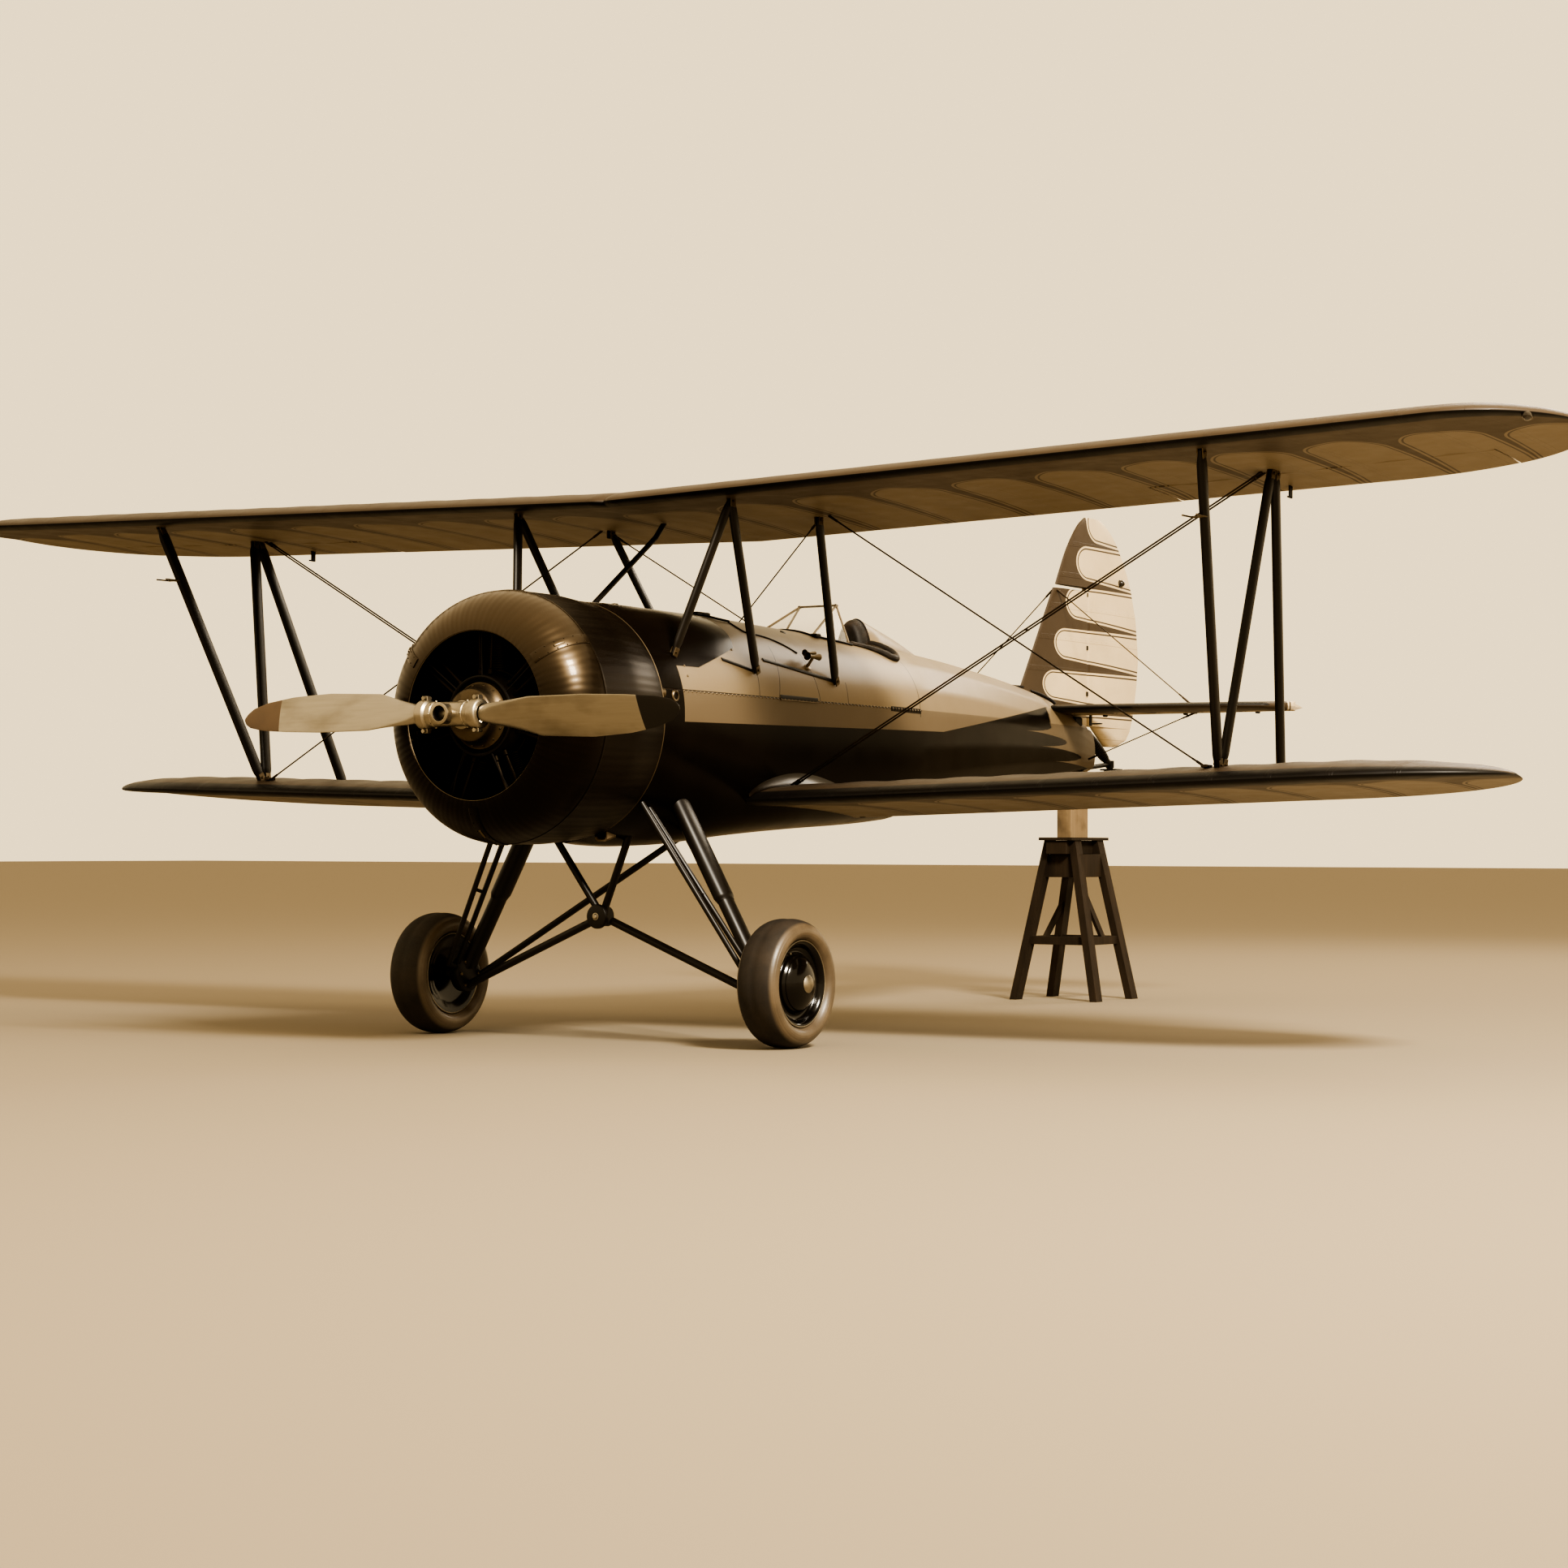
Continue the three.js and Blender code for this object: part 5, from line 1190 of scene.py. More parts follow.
def build_wheel(word, side, tyre_finish, hub_finish, metal):
    centre = Vector((side * WHEEL_X, 0, WHEEL_Z))
    outward = OUT * side
    Shape().lathe(tyre_profile(), centre, outward, 120).finish(
        f"tyre_skin_{word}", [tyre_finish], body=f"wheel_{word}", slot="tyre", replaces=[f"tyre_{word}"])
    shape = Shape().lathe(WHEEL_BACK + WHEEL_RIM + WHEEL_FACE, centre, outward, 112)
    valve = centre + Vector((0, -math.sin(0.5), math.cos(0.5))) * 163
    shape.tube([valve + outward * 44, valve + outward * 74], 4.5, 10, 1)
    shape.lathe(HUB_RING, centre, outward, 64, 1)
    shape.bead(203, TYRE_BEAD + 8, 3.5, centre, outward, 96, 1)
    shape.bead(202, -TYRE_BEAD - 8, 3.5, centre, outward, 96, 1)
    shape.finish(f"wheel_disc_{word}", [hub_finish, metal], body=f"wheel_{word}", slot="wheel_paint",
                 replaces=[f"wheel_hub_{word}"], angle=35)


# Struts

CABANE = (  # name, share of the chord where it meets the wing, feet on the hull
    ("front", FRONT_SPAR, ((476, -115, 1874), (507, 560, 1820))),
    ("rear", REAR_SPAR, ((466, 1370, 1802),)),
)
DIAGONAL_SHIFT = AFT * 42
APEX = Vector((0, -40, 608))
GEAR_FOOT, GEAR_HEAD, BRAKE_PLATE = (885, 30, 346), (400, 20, 1200), (897, 10, 306)
BRAKE_DRUM = [(0.01, -28), (80, -28), (90, -24), (92, -16), (92, 16), (90, 24), (80, 28), (0.01, 28)]


def strut(shape, start, end, width, thickness, taper=70, tip=0.5):
    """A streamlined bar with its nose forward, drawn in at its ends."""
    along = (end - start).normalized()
    length = (end - start).length
    across = (AFT - along * along.dot(AFT)).normalized()
    side = along.cross(across)
    rings = []
    for s in sorted({0, length, *spread(0, taper, 6), *spread(length - taper, length, 6), length / 2}):
        scale = mix(tip, 1, smooth_step(0, taper, min(s, length - s))) if taper else 1
        ring = []
        for turn in turns(28):
            c = math.cos(turn)
            fullness = math.sin(turn) * (1 - 0.22 * c)
            spot = start + along * s + across * c * width / 2 * scale
            ring.append(spot + side * fullness * thickness / 2 * scale)
        rings.append(ring)
    shape.loft(rings)


def fitting(shape, place, along, size=30):
    """A small fork with its bolt, where a strut meets a skin."""
    along = along.normalized()
    across = (OUT - along * along.dot(OUT)).normalized()
    axes = (across, along.cross(across), along)
    for s in (-1, 1):
        shape.block(place + across * s * size * 0.42, (5, size * 1.3, size * 1.7), axes, 1, 1)
    half = size * 0.75
    shape.lathe([(0.01, -half), (7, -half), (7, half), (0.01, half)], place, across, 12, 1)


def strut_ends(place, side):
    """Lower and upper end of an outer strut at the front or rear spar."""
    spar = {"front": FRONT_SPAR, "rear": REAR_SPAR}[place]
    return spar_point(LOWER, STRUT_LOWER_X, spar, 1, side), spar_point(UPPER, STRUT_UPPER_X, spar, -1, side)


def build_struts(word, side, paint, metal):
    front, rear = strut_ends("front", side), strut_ends("rear", side)
    diagonal = (front[0] + DIAGONAL_SHIFT, rear[1] - DIAGONAL_SHIFT)
    for place, (low, top) in (("front", front), ("rear", rear), ("diagonal", diagonal)):
        shape = Shape()
        strut(shape, low, top, 78, 34, tip=0.62)
        for foot, direction in ((low, top - low), (top, low - top)):
            fitting(shape, foot + direction.normalized() * 14, direction)
        shape.finish(f"interplane_{place}_{word}", [paint, metal], slot="strut_paint",
                     replaces=[f"strut_{place}_{word}"])
    for place, spar, feet in CABANE:
        shape = Shape()
        top = spar_point(UPPER, CABANE_X, spar, -1, side)
        for foot in sided(side, feet):
            strut(shape, foot, top, 62, 28, tip=0.62)
            fitting(shape, foot + (top - foot).normalized() * 12, top - foot, 26)
        fitting(shape, top - UP * 14, UP)
        shape.finish(f"cabane_strut_{place}_{word}", [paint, metal], slot="strut_paint",
                     replaces=[f"cabane_{place}_{word}"])


def build_gear(word, side, paint, metal):
    """The faired leg, slim below and deep above, with the brake plate at its foot."""
    shape = Shape()
    foot, head, plate = sided(side, (GEAR_FOOT, GEAR_HEAD, BRAKE_PLATE))
    inward = OUT * -side
    strut(shape, foot, foot.lerp(head, 0.62), 112, 62, taper=0)
    strut(shape, foot.lerp(head, 0.403), head, 140, 74, taper=26, tip=0.86)
    shape.lathe(BRAKE_DRUM, plate, OUT, 64)
    shape.lathe([(0.01, 0), (34, 0), (34, 96), (0.01, 96)], plate, -inward, 24, 1)
    for out in around(6, AFT, UP):
        shape.lathe([(0.01, 8), (7, 8), (9, 4), (9, -4)], plate + out * 66 + inward * 27, inward, 6, 1)
    shape.finish(f"gear_fairing_{word}", [paint, metal], slot="strut_paint", replaces=[f"gear_leg_{word}"])


def build_apex(paint, metal):
    """A round plate and its bolt, in front of the joint where the axle struts meet."""
    shape = Shape()
    spot = APEX - AFT * 46
    shape.lathe([(0.01, 8), (44, 8), (56, 5), (60, -2), (60, -14), (0.01, -14)], spot, -AFT, 56)
    shape.lathe([(0.01, 20), (9, 20), (13, 17), (13, 6)], spot, -AFT, 6, 1)
    shape.lathe([(14, 8), (18, 8.5), (18, 11), (14, 12)], spot, -AFT, 24, 1)
    shape.finish("apex_plate", [paint, metal], slot="strut_paint")


# The tail

HINGE_RUDDER_Y, HINGE_ELEVATOR_Y, TAILPLANE_Z = 5094, 4980, 1800
TAIL_THICKNESS, TAILPLANE_THICKNESS = 62, 58
RUDDER_NOSE, ELEVATOR_NOSE, TAIL_GAP = 26, 24, 9
RUDDER_AHEAD = HINGE_RUDDER_Y - 120

# height Z, leading edge Y, trailing edge Y
RUDDER_FOOT = [(1590, 5350, 5470), (1600, 5325, 5530), (1640, 5255, 5650), (1698, 5165, 5705)]
RUDDER_LOW = RUDDER_FOOT + [
    (1712, RUDDER_AHEAD, 5713), (1810, RUDDER_AHEAD, 5756), (2000, RUDDER_AHEAD, 5805),
    (2170, RUDDER_AHEAD, 5828), (2424, RUDDER_AHEAD, 5792), (2600, RUDDER_AHEAD, 5727),
]
RUDDER_FOOT += [(1712, 5150, 5713)]
RUDDER_HORN = [
    (2585, 4682, 5735), (2675, 4735, 5687), (2800, 4815, 5600),
    (2907, 4905, 5501), (2985, 4990, 5390), (3030, 5070, 5290),
]
FIN = [(1700, 4090, 5600), (1910, 4218, 5600), (2200, 4412, 5600), (2560, 4652, 5600)]

# distance from the middle X, leading edge Y, trailing edge Y
TAILPLANE = [
    (0, 4380, 5470), (300, 4430, 5470), (900, 4545, 5440), (1200, 4625, 5370),
    (1380, 4730, 5260), (1460, 4840, 5130), (1486, 4915, 5040),
]
ELEVATOR_ROOT_X, ELEVATOR_TIP_X, CORNER_CUT = 62, 1440, 0.72


def tail_ring(station, front, back, thickness, place, y_from=None, y_to=None, nose=0):
    """A tail surface's section, whole or between two stations, with a round nose if one is given."""
    chord = back - front
    low = 0.0 if y_from is None else (y_from - front) / chord
    high = 1.0 if y_to is None else (y_to - front) / chord
    parts = [mix(low, high, s) for s in swell(22)]
    upper = [(front + u * chord, aerofoil_half(thickness, max(u, 0))) for u in reversed(parts)]
    lower = [(y, -h) for y, h in reversed(upper)]
    if nose:
        start = lower[0][0]
        curve = [(start - nose * math.sin(a), nose * math.cos(a)) for a in arc(15, 165, 9)]
        ring = upper + curve + lower[:-1]
    else:
        ring = upper + lower[1:-1]
    return [place(station, y, h) for y, h in ring]


def upright(z, y, x):
    """Places a section of the fin or rudder."""
    return Vector((x, y, z))


def level(side):
    """Places a section of the tailplane or an elevator on one side."""
    return lambda x, y, z: Vector((side * x, y, TAILPLANE_Z + z))


def build_fin(finish):
    edge = HINGE_RUDDER_Y - RUDDER_NOSE - TAIL_GAP
    heights = spread(FIN[0][0], FIN[-1][0], 44)
    Shape().loft([tail_ring(*between(FIN, z), TAIL_THICKNESS, upright, y_to=edge) for z in heights]).finish(
        "fin_skin", [finish], slot="paint_cream", replaces=["fin"])


def build_rudder(finish):
    """The blade behind the hinge, its foot below the stern and the horn that reaches over the fin."""
    shape = Shape()
    shape.loft([
        tail_ring(*between(RUDDER_LOW, z), TAIL_THICKNESS, upright, y_from=HINGE_RUDDER_Y, nose=RUDDER_NOSE)
        for z in spread(1712, 2594, 46)
    ])
    shape.loft([
        tail_ring(*between(RUDDER_FOOT, z), TAIL_THICKNESS * 0.7, upright) for z in spread(1591, 1711, 20)
    ])
    low, high = RUDDER_HORN[0][0], RUDDER_HORN[-1][0]
    shape.loft([
        tail_ring(*flowing(RUDDER_HORN, mix(low, high, s)), TAIL_THICKNESS * mix(1, 0.6, s), upright)
        for s in easing(40)
    ])
    shape.finish("rudder_skin", [finish], body="rudder", slot="paint_cream", replaces=["rudder"])


def build_tailplane(finish):
    """The fixed half in front of the hinge, and the two elevators on their common tube."""
    fixed, moving = Shape(), Shape()
    hinge = HINGE_ELEVATOR_Y
    edge = hinge - ELEVATOR_NOSE - TAIL_GAP
    stations = [TAILPLANE[-1][0] * s for s in easing(70)]
    for _, side in SIDES:
        fixed.loft([
            tail_ring(*between(TAILPLANE, x), TAILPLANE_THICKNESS, level(side), y_to=edge) for x in stations
        ])
        rings = []
        for x in spread(ELEVATOR_ROOT_X, ELEVATOR_TIP_X, 70):
            _, front, back = between(TAILPLANE, x)
            corner = hinge + (x - ELEVATOR_ROOT_X) / CORNER_CUT
            cut = x < ELEVATOR_ROOT_X + CORNER_CUT * (back - hinge)
            rings.append(tail_ring(x, front, back, TAILPLANE_THICKNESS, level(side), y_from=hinge,
                                   y_to=min(back, corner + 20) if cut else back, nose=ELEVATOR_NOSE))
        moving.loft(rings)
    moving.tube([(-70, hinge, TAILPLANE_Z), (70, hinge, TAILPLANE_Z)], 15, 20)
    fixed.finish("tailplane_skin", [finish], slot="paint_cream", replaces=["tailplane"])
    moving.finish("elevator_skins", [finish], body="elevators", slot="paint_cream", replaces=["elevators"])


# The cockpit and the headrest

COAMING = [  # X and Y on the left side, widening to an elbow rest
    (236, 1876), (246, 1990), (276, 2110), (312, 2190), (306, 2262), (236, 2312), (100, 2322),
]
COAMING_LIFT, COAMING_RADIUS, PUCKER = 8, 17, 46
REST_FROM, REST_INNER_X = (236, 1880), 227
REST_SECTION = ((0, -4), (0, 4), (0.35, 7), (0.7, 7), (1, 4), (1, -4))
WINDSHIELD = [(200, 1545, 2062), (250, 1868, 2012), (117, 1930, 2260)]  # front foot, rear foot, top corner
SILL = ((203, 1552), (252, 1872))
HEADREST = [  # station Y, half width, top Z
    (2330, 100, 2215), (2420, 118, 2190), (2700, 84, 2120), (2930, 40, 2055),
]
HEADREST_MIDDLE_Z = 2000
DIALS = [
    (0, 1905, 42), (-118, 1900, 38), (118, 1900, 38), (-66, 1806, 30), (66, 1806, 30),
    (-150, 1796, 22), (150, 1796, 22),
]
PANEL_Y, DIAL_MARKS, DIAL_START = 1732, 10, -2.4
GRIP = [
    (14, 1650), (18, 1655), (19, 1690), (17, 1700), (19, 1712), (17, 1724), (19, 1736), (20, 1765),
    (14, 1778), (0.01, 1780),
]
GRIP_Y, SEAT_Y, SEAT_Z = 1850, 2060, 1585
SEAT_HALF_X, SEAT_HALF_Y, SEAT_HALF_Z, SEAT_DIP = 188, 158, 38, 9


def rounded(points, times):
    """Cuts the corners of an open line again and again."""
    for _ in range(times):
        inner = [q for a, b in zip(points, points[1:]) for q in (a.lerp(b, 0.25), a.lerp(b, 0.75))]
        points = [points[0], *inner, points[-1]]
    return points


def resampled(points, step):
    """The same line with points at even distances."""
    lengths = [0.0]
    for a, b in zip(points, points[1:]):
        lengths.append(lengths[-1] + (b - a).length)
    table = [(s, *p) for s, p in zip(lengths, points)]
    count = int(lengths[-1] / step) + 1
    return [Vector(between(table, s)[1:]) for s in spread(0, lengths[-1], count)]


def on_deck(x, y, lift=0.0):
    """A point on the deck, or a little above it."""
    return Vector((x, y, deck_z(x, y) + lift))


def build_coaming(finish):
    """The padded roll round the cockpit's edge, swollen to an elbow rest on both sides, with its piping."""
    half = [on_deck(x, y, COAMING_LIFT) for x, y in COAMING]
    path = resampled(rounded(half + [Vector((-p.x, p.y, p.z)) for p in reversed(half)], 3), 6)
    radii = []
    for k, p in enumerate(path):
        pinch = abs(math.sin(math.pi * 6 * k / PUCKER)) ** 0.5
        end = min(k, len(path) - 1 - k)
        full = mix(0.72, 1.3, smooth_step(1950, 2180, p.y))
        radii.append(COAMING_RADIUS * full * mix(0.93, 1.0, pinch) * math.sqrt(min(1.0, (end + 0.15) / 3)))
    shape = Shape().tube(path, radii, 24)
    for _, side in SIDES:
        rests = [p for p in path if p.x * side > REST_FROM[0] and p.y > REST_FROM[1]]
        inner = REST_INNER_X
        shape.loft([
            [on_deck(side * mix(inner, abs(p.x), s), p.y, lift) for s, lift in REST_SECTION] for p in rests
        ])
    outer = [along.cross(UP) * (radius - 1) for along, radius in zip(directions(path), radii)]
    shape.tube([p + out - UP * 5 for p, out in zip(path, outer)], 3, 8)
    roll = shape.finish("coaming_roll", [finish], slot="leather", replaces=["cockpit_coaming"])


def headrest_ring(y, half, top):
    """An upright ellipse round the fairing's middle line; its lower half stays inside the deck."""
    rise = top - HEADREST_MIDDLE_Z
    return [Vector((half * math.cos(a), y, HEADREST_MIDDLE_Z + rise * math.sin(a))) for a in turns(48)]


def build_headrest(paint, leather_finish):
    """The long fairing behind the cockpit and the cushion on its front."""
    front, back = HEADREST[0], HEADREST[-1]
    rows = [flowing(HEADREST, y) for y in spread(front[0], back[0], 40)]
    for s in (0.5, 0.9):
        top = HEADREST_MIDDLE_Z + (back[2] - HEADREST_MIDDLE_Z) * math.sqrt(1 - s * s * 0.5)
        rows.append((back[0] + 22 * s, back[1] * math.sqrt(1 - s * s), top))
    Shape().loft([headrest_ring(*row) for row in rows]).finish(
        "headrest_fairing_skin", [paint], slot="paint_cream", replaces=["headrest_fairing"])
    rings = []
    for s in easing(22):
        full = (1 - s**2.6) ** (1 / 2.6)
        top = HEADREST_MIDDLE_Z + 213 * mix(0.78, 1, full)
        rings.append(headrest_ring(front[0] - 0.3 - 92 * s, 98 * mix(0.52, 1, full), top))
    pad = Shape().loft(rings)
    edge = headrest_ring(front[0] - 8, 99.5, 2214.5)
    pad.tube([p for p in edge if p.z > HEADREST_MIDDLE_Z + 40], 4.5, 8)
    cushion = pad.finish("headrest_cushion", [leather_finish], slot="leather", replaces=["headrest_pad"])


def pane(shape, corners, thickness=3):
    """A flat plate through the corners."""
    normal = (corners[1] - corners[0]).cross(corners[2] - corners[0]).normalized() * thickness / 2
    count = len(corners)
    faces = [tuple(range(count)), tuple(range(count, 2 * count))]
    faces += [(i, (i + 1) % count, count + (i + 1) % count, count + i) for i in range(count)]
    shape.add([p + normal for p in corners] + [p - normal for p in corners], faces)


def build_windshield(metal, dark, pane_finish):
    """Three thin panes in a tube frame that stands in a padded sill on the deck."""
    rods, panes = Shape(), Shape()
    fronts, tops = [], []
    for _, side in SIDES:
        front, rear, top = sided(side, WINDSHIELD)
        fronts.append(front)
        tops.append(top)
        pane(panes, [front, rear, top])
        for foot in (front, rear):
            rods.tube([foot, top], 6, 16)
        sill = [on_deck(side * x, y, 5) for x, y in line(*SILL)]
        rods.tube(sill, 11, 12, 1, 0.55, OUT)
        rods.block(on_deck(side * 214, 1566, 9), (44, 50, 20), finish=1, edge=4)
        rods.tube([top - AFT * 9, top + AFT * 9], 8, 12)
    pane(panes, [*fronts, *reversed(tops)])
    rods.tube(tops, 6, 16)
    foot_x, foot_y, _ = WINDSHIELD[0]
    front_sill = [on_deck(x, foot_y - 14 * (1 - (x / foot_x) ** 2), 3) for x in spread(-foot_x, foot_x, 22)]
    rods.tube(front_sill, 7, 12, 1)
    rods.finish("windshield_frame", [metal, dark], slot="steel", replaces=["windshield"])
    panes.finish("windshield_panes", [pane_finish], slot="glass")


def build_instruments(metal, dark, pale):
    """Round dials with a raised rim, a needle and plain marks."""
    shape = Shape()
    for x, z, radius in DIALS:
        spot = Vector((x, PANEL_Y, z))
        shape.lathe([(0.01, 1), (radius - 6, 1)], spot, AFT, 40, 1)
        rim = [(radius - 6, 0.8), (radius - 5, 6), (radius, 6), (radius + 2, 2), (radius + 2, -2)]
        shape.lathe(rim, spot, AFT, 40)
        needle = Vector((math.sin(x + z), 0, math.cos(x + z))) * radius
        shape.tube([spot + AFT * 2.5 + needle * s for s in (-0.2, 0.66)], 1.4, 6, 2)
        for turn in turns(12)[:DIAL_MARKS]:
            mark = Vector((math.sin(turn + DIAL_START), 0, math.cos(turn + DIAL_START))) * radius
            shape.tube([spot + AFT * 1.8 + mark * s for s in (0.62, 0.74)], 1, 4, 2)
    shape.finish("instruments", [metal, dark, pale], slot="steel")


def build_stick_grip(finish):
    Shape().lathe(GRIP, (0, GRIP_Y, 0), UP, 28).finish("stick_grip", [finish], slot="tyre")


def build_seat_cushion(finish):
    """A flat square cushion with a seam round its edge, pressed in on top."""
    rings = []
    for tilt in arc(-88, 88, 25):
        wide = math.cos(tilt) ** 0.42 - (0.035 if abs(tilt) < 0.1 else 0)
        rise = math.copysign(SEAT_HALF_Z * abs(math.sin(tilt)) ** 0.7, math.sin(tilt))
        ring = []
        for turn in turns(64):
            a, b = math.cos(turn), math.sin(turn)
            corner = (a**4 + b**4) ** -0.25 * wide
            dip = SEAT_DIP * (1 - min(1.0, wide)) if tilt > 0 else 0
            x, y = SEAT_HALF_X * a * corner, SEAT_Y + SEAT_HALF_Y * b * corner
            ring.append(Vector((x, y, SEAT_Z + rise - dip)))
        rings.append(ring)
    Shape().loft(rings).finish("seat_cushion", [finish], slot="leather")


# Fittings

STRIPS = (  # first and last place (station Y, height Z), count of places, width, height, finish
    ((1962, 1694), (2316, 1692), 14, 26, 2, 1),
    ((290, 1871), (540, 1829), 10, 18, 5, 1),
    ((690, 1890), (1361, 1812), 20, 18, 5, 1),
    ((781, 1706), (1161, 1704), 12, 22, 2, 1),
    ((779, 1692), (1163, 1691), 12, 5, 7, 0),
)
PANEL_BOLTS = [(-60, 1770), (-60, 1820), (430, 1925), (640, 1900), (1385, 1830)]
RIVET_Z, LACE_Z = 1695, 1694
PORT, PORT_RIM = (-205, 1668), [(17, -8), (17, 5), (24, 7), (28, 4), (30, -4)]
FILLER, FILLER_CAP = (232, 1226), [(0.01, 3), (15, 3), (19, 0.5), (19, -3)]
DECK_PIPE = ((230, 716), (292, 700), (338, 722), (332, 864), (372, 1010), (404, 1092))
HORN_STAND, HORN_AXIS, HORN_ACROSS = (1121, 1876), Vector((0.62, 0, 0.78)), Vector((-0.78, 0, 0.62))
HORN = [
    (22, -60), (13, -44), (9, -20), (11, 10), (18, 52), (15, 52), (8, 10), (6, -20), (11, -44), (19, -60),
    (22, -60),
]
DECK_CAP = [(0.01, 26), (16, 24), (24, 14), (26, 0), (30, -4)]
FILLET_REACH, FILLET_RISE = 78, 74
UPPER_BRACE, LOWER_BRACE = (860, 4800, TAILPLANE_Z + 26), (830, 4930, TAILPLANE_Z - 26)
TAIL_PIPE = ((20, 4322, 1902), (58, 4392, 1880), (104, 4436, 1850), (120, 4452, 1826))
TAIL_LEG, SLEEVE = (Vector((0, 5083, 1680)), Vector((0, 5425, 1473))), (0.1, 0.8)
TAIL_LAMP = [(0.01, 26), (12, 24), (20, 16), (23, 6), (23, 0), (25, -2), (25, -12)]
WING_LAMP = [(0.01, -30), (12, -26), (20, -12), (22, 4), (20, 22), (13, 48), (4, 72), (0.01, 76)]
LAMP_X, ARM_X, ARM_CHORD, PITOT_SHARE, PITOT_REACH = 4600, 3060, 0.93, 0.79, 66


def hull_strip(shape, start, end, count, width, height, finish, side):
    """A flat strip lying on the hull."""
    outline = ((-1, -2), (-1, height * 0.6), (-0.7, height), (0.7, height), (1, height * 0.6), (1, -2))
    rings = []
    for y, z in line(start, end, count):
        spot = hull_side(y, z, side)
        along = (hull_side(y, z + 6, side) - hull_side(y, z - 6, side)).normalized()
        out = Vector((along.z, 0, -along.x)) * side
        rings.append([spot + along * a * width / 2 + out * b for a, b in outline])
    shape.loft(rings, finish=finish)


def line(start, end, count=10):
    """Evenly spaced rows from one row to another."""
    return [tuple(mix(a, b, s) for a, b in zip(start, end)) for s in spread(0, 1, count)]


def wire(shape, start, end, radius=3.2):
    """A streamlined wire with a threaded fork at both ends."""
    start, end = Vector(start), Vector(end)
    along = (end - start).normalized()
    shape.tube([start, end], radius, 10)
    for spot, way in ((start, along), (end, -along)):
        shape.tube([spot, spot + way * 60], 6.5, 10)
        shape.tube([spot + way * 60, spot + way * 90], 4.6, 6)


def build_hull_trim(metal, dark):
    """Rivets, lacing, strips, bolts, a port and a filler cap, on both sides of the hull."""
    trim = Shape()
    for _, side in SIDES:
        out = OUT * side
        trim.domes([(hull_side(y, RIVET_Z, side), out) for y in spread(-120, 1950, 58)], 6, 3)
        for y in spread(1975, 2305, 11):
            spot = hull_side(y, LACE_Z, side)
            trim.tube([spot + UP * 9 + out, spot + out * 7, spot - UP * 9 + out], 2.6, 8)
        for strip in STRIPS:
            hull_strip(trim, *strip, side)
        port = hull_side(*PORT, side)
        trim.lathe(PORT_RIM, port, out, 32)
        trim.lathe([(0.01, 1), (18, 1)], port, out, 32, 1)
        trim.domes([(hull_side(y, z, side), out) for y, z in PANEL_BOLTS], 7, 4)
        x, y = FILLER
        trim.lathe(FILLER_CAP, on_deck(side * x, y), Vector((side * 0.55, 0, 0.84)), 24, 1)
    trim.finish("hull_trim", [metal, dark], slot="steel")


def build_deck_fittings(metal, dark, paint):
    """What stands on the deck on the left: a block, a handle, the fuel pipe's end, two horns and a cap."""
    deck = Shape()
    deck.block(on_deck(90, 668, 8), (46, 120, 20), finish=1, edge=5)
    deck.tube([on_deck(150, 600, 8), on_deck(215, 640, 9), on_deck(228, 725, 8)], 6, 10, 1)
    deck.tube(rounded([on_deck(x, y, 4) for x, y in DECK_PIPE], 2), 4, 8, 1)
    foot = hull_side(*HORN_STAND)
    deck.lathe([(26, -2), (24, 4), (9, 7), (7, 60), (0.01, 62)], foot, HORN_AXIS, 20)
    for offset, size in ((0, 1.0), (30, 0.8)):
        profile = [(r * size, a * size) for r, a in HORN]
        deck.lathe(profile, foot + HORN_AXIS * 66 + HORN_ACROSS * offset, AFT, 24)
    deck.lathe(DECK_CAP, on_deck(-70, 150), UP, 32)
    deck.tube([on_deck(-70, 150, 22), on_deck(-110, 168, 20)], 5, 8)
    deck.finish("deck_fittings", [metal, dark, paint], slot="steel")


def fillet_ring(u, side):
    """One ring of the hollow between the lower wing and the hull, at the share u of the chord."""
    fade = math.sin(math.pi * min(1.0, u * 1.6 + 0.12) / 2) * mix(1.0, 0.75, u)
    reach, rise = FILLET_REACH * fade + 6, FILLET_RISE * fade + 6
    x = 560
    for _ in range(3):
        spot = skin_point(LOWER, x, max(u, 0.004), 1)
        x = hull_side(spot.y, spot.z).x
    wall = hull_side(spot.y, spot.z + rise).x
    outer = skin_point(LOWER, x + reach, max(u, 0.004), 1)
    places = []
    for a in arc(0, 90, 12):
        c, s = math.cos(a), math.sin(a)
        height = spot.z + rise * (1 - c) + 1.5 + (outer.z - spot.z) * (1 - s)
        places.append((outer.x - (outer.x - wall) * s + 1.5, height))
    places += [(wall - 30, spot.z + rise), (wall - 30, outer.z - 12), (outer.x, outer.z - 8)]
    return [Vector((side * across, spot.y, height)) for across, height in places]


def build_fillet(word, side, paint):
    shape = Shape().loft([fillet_ring(u, side) for u in spread(0.0, 0.985, 40)])
    shape.finish(f"root_fillet_{word}", [paint], slot="paint_dark", angle=50)


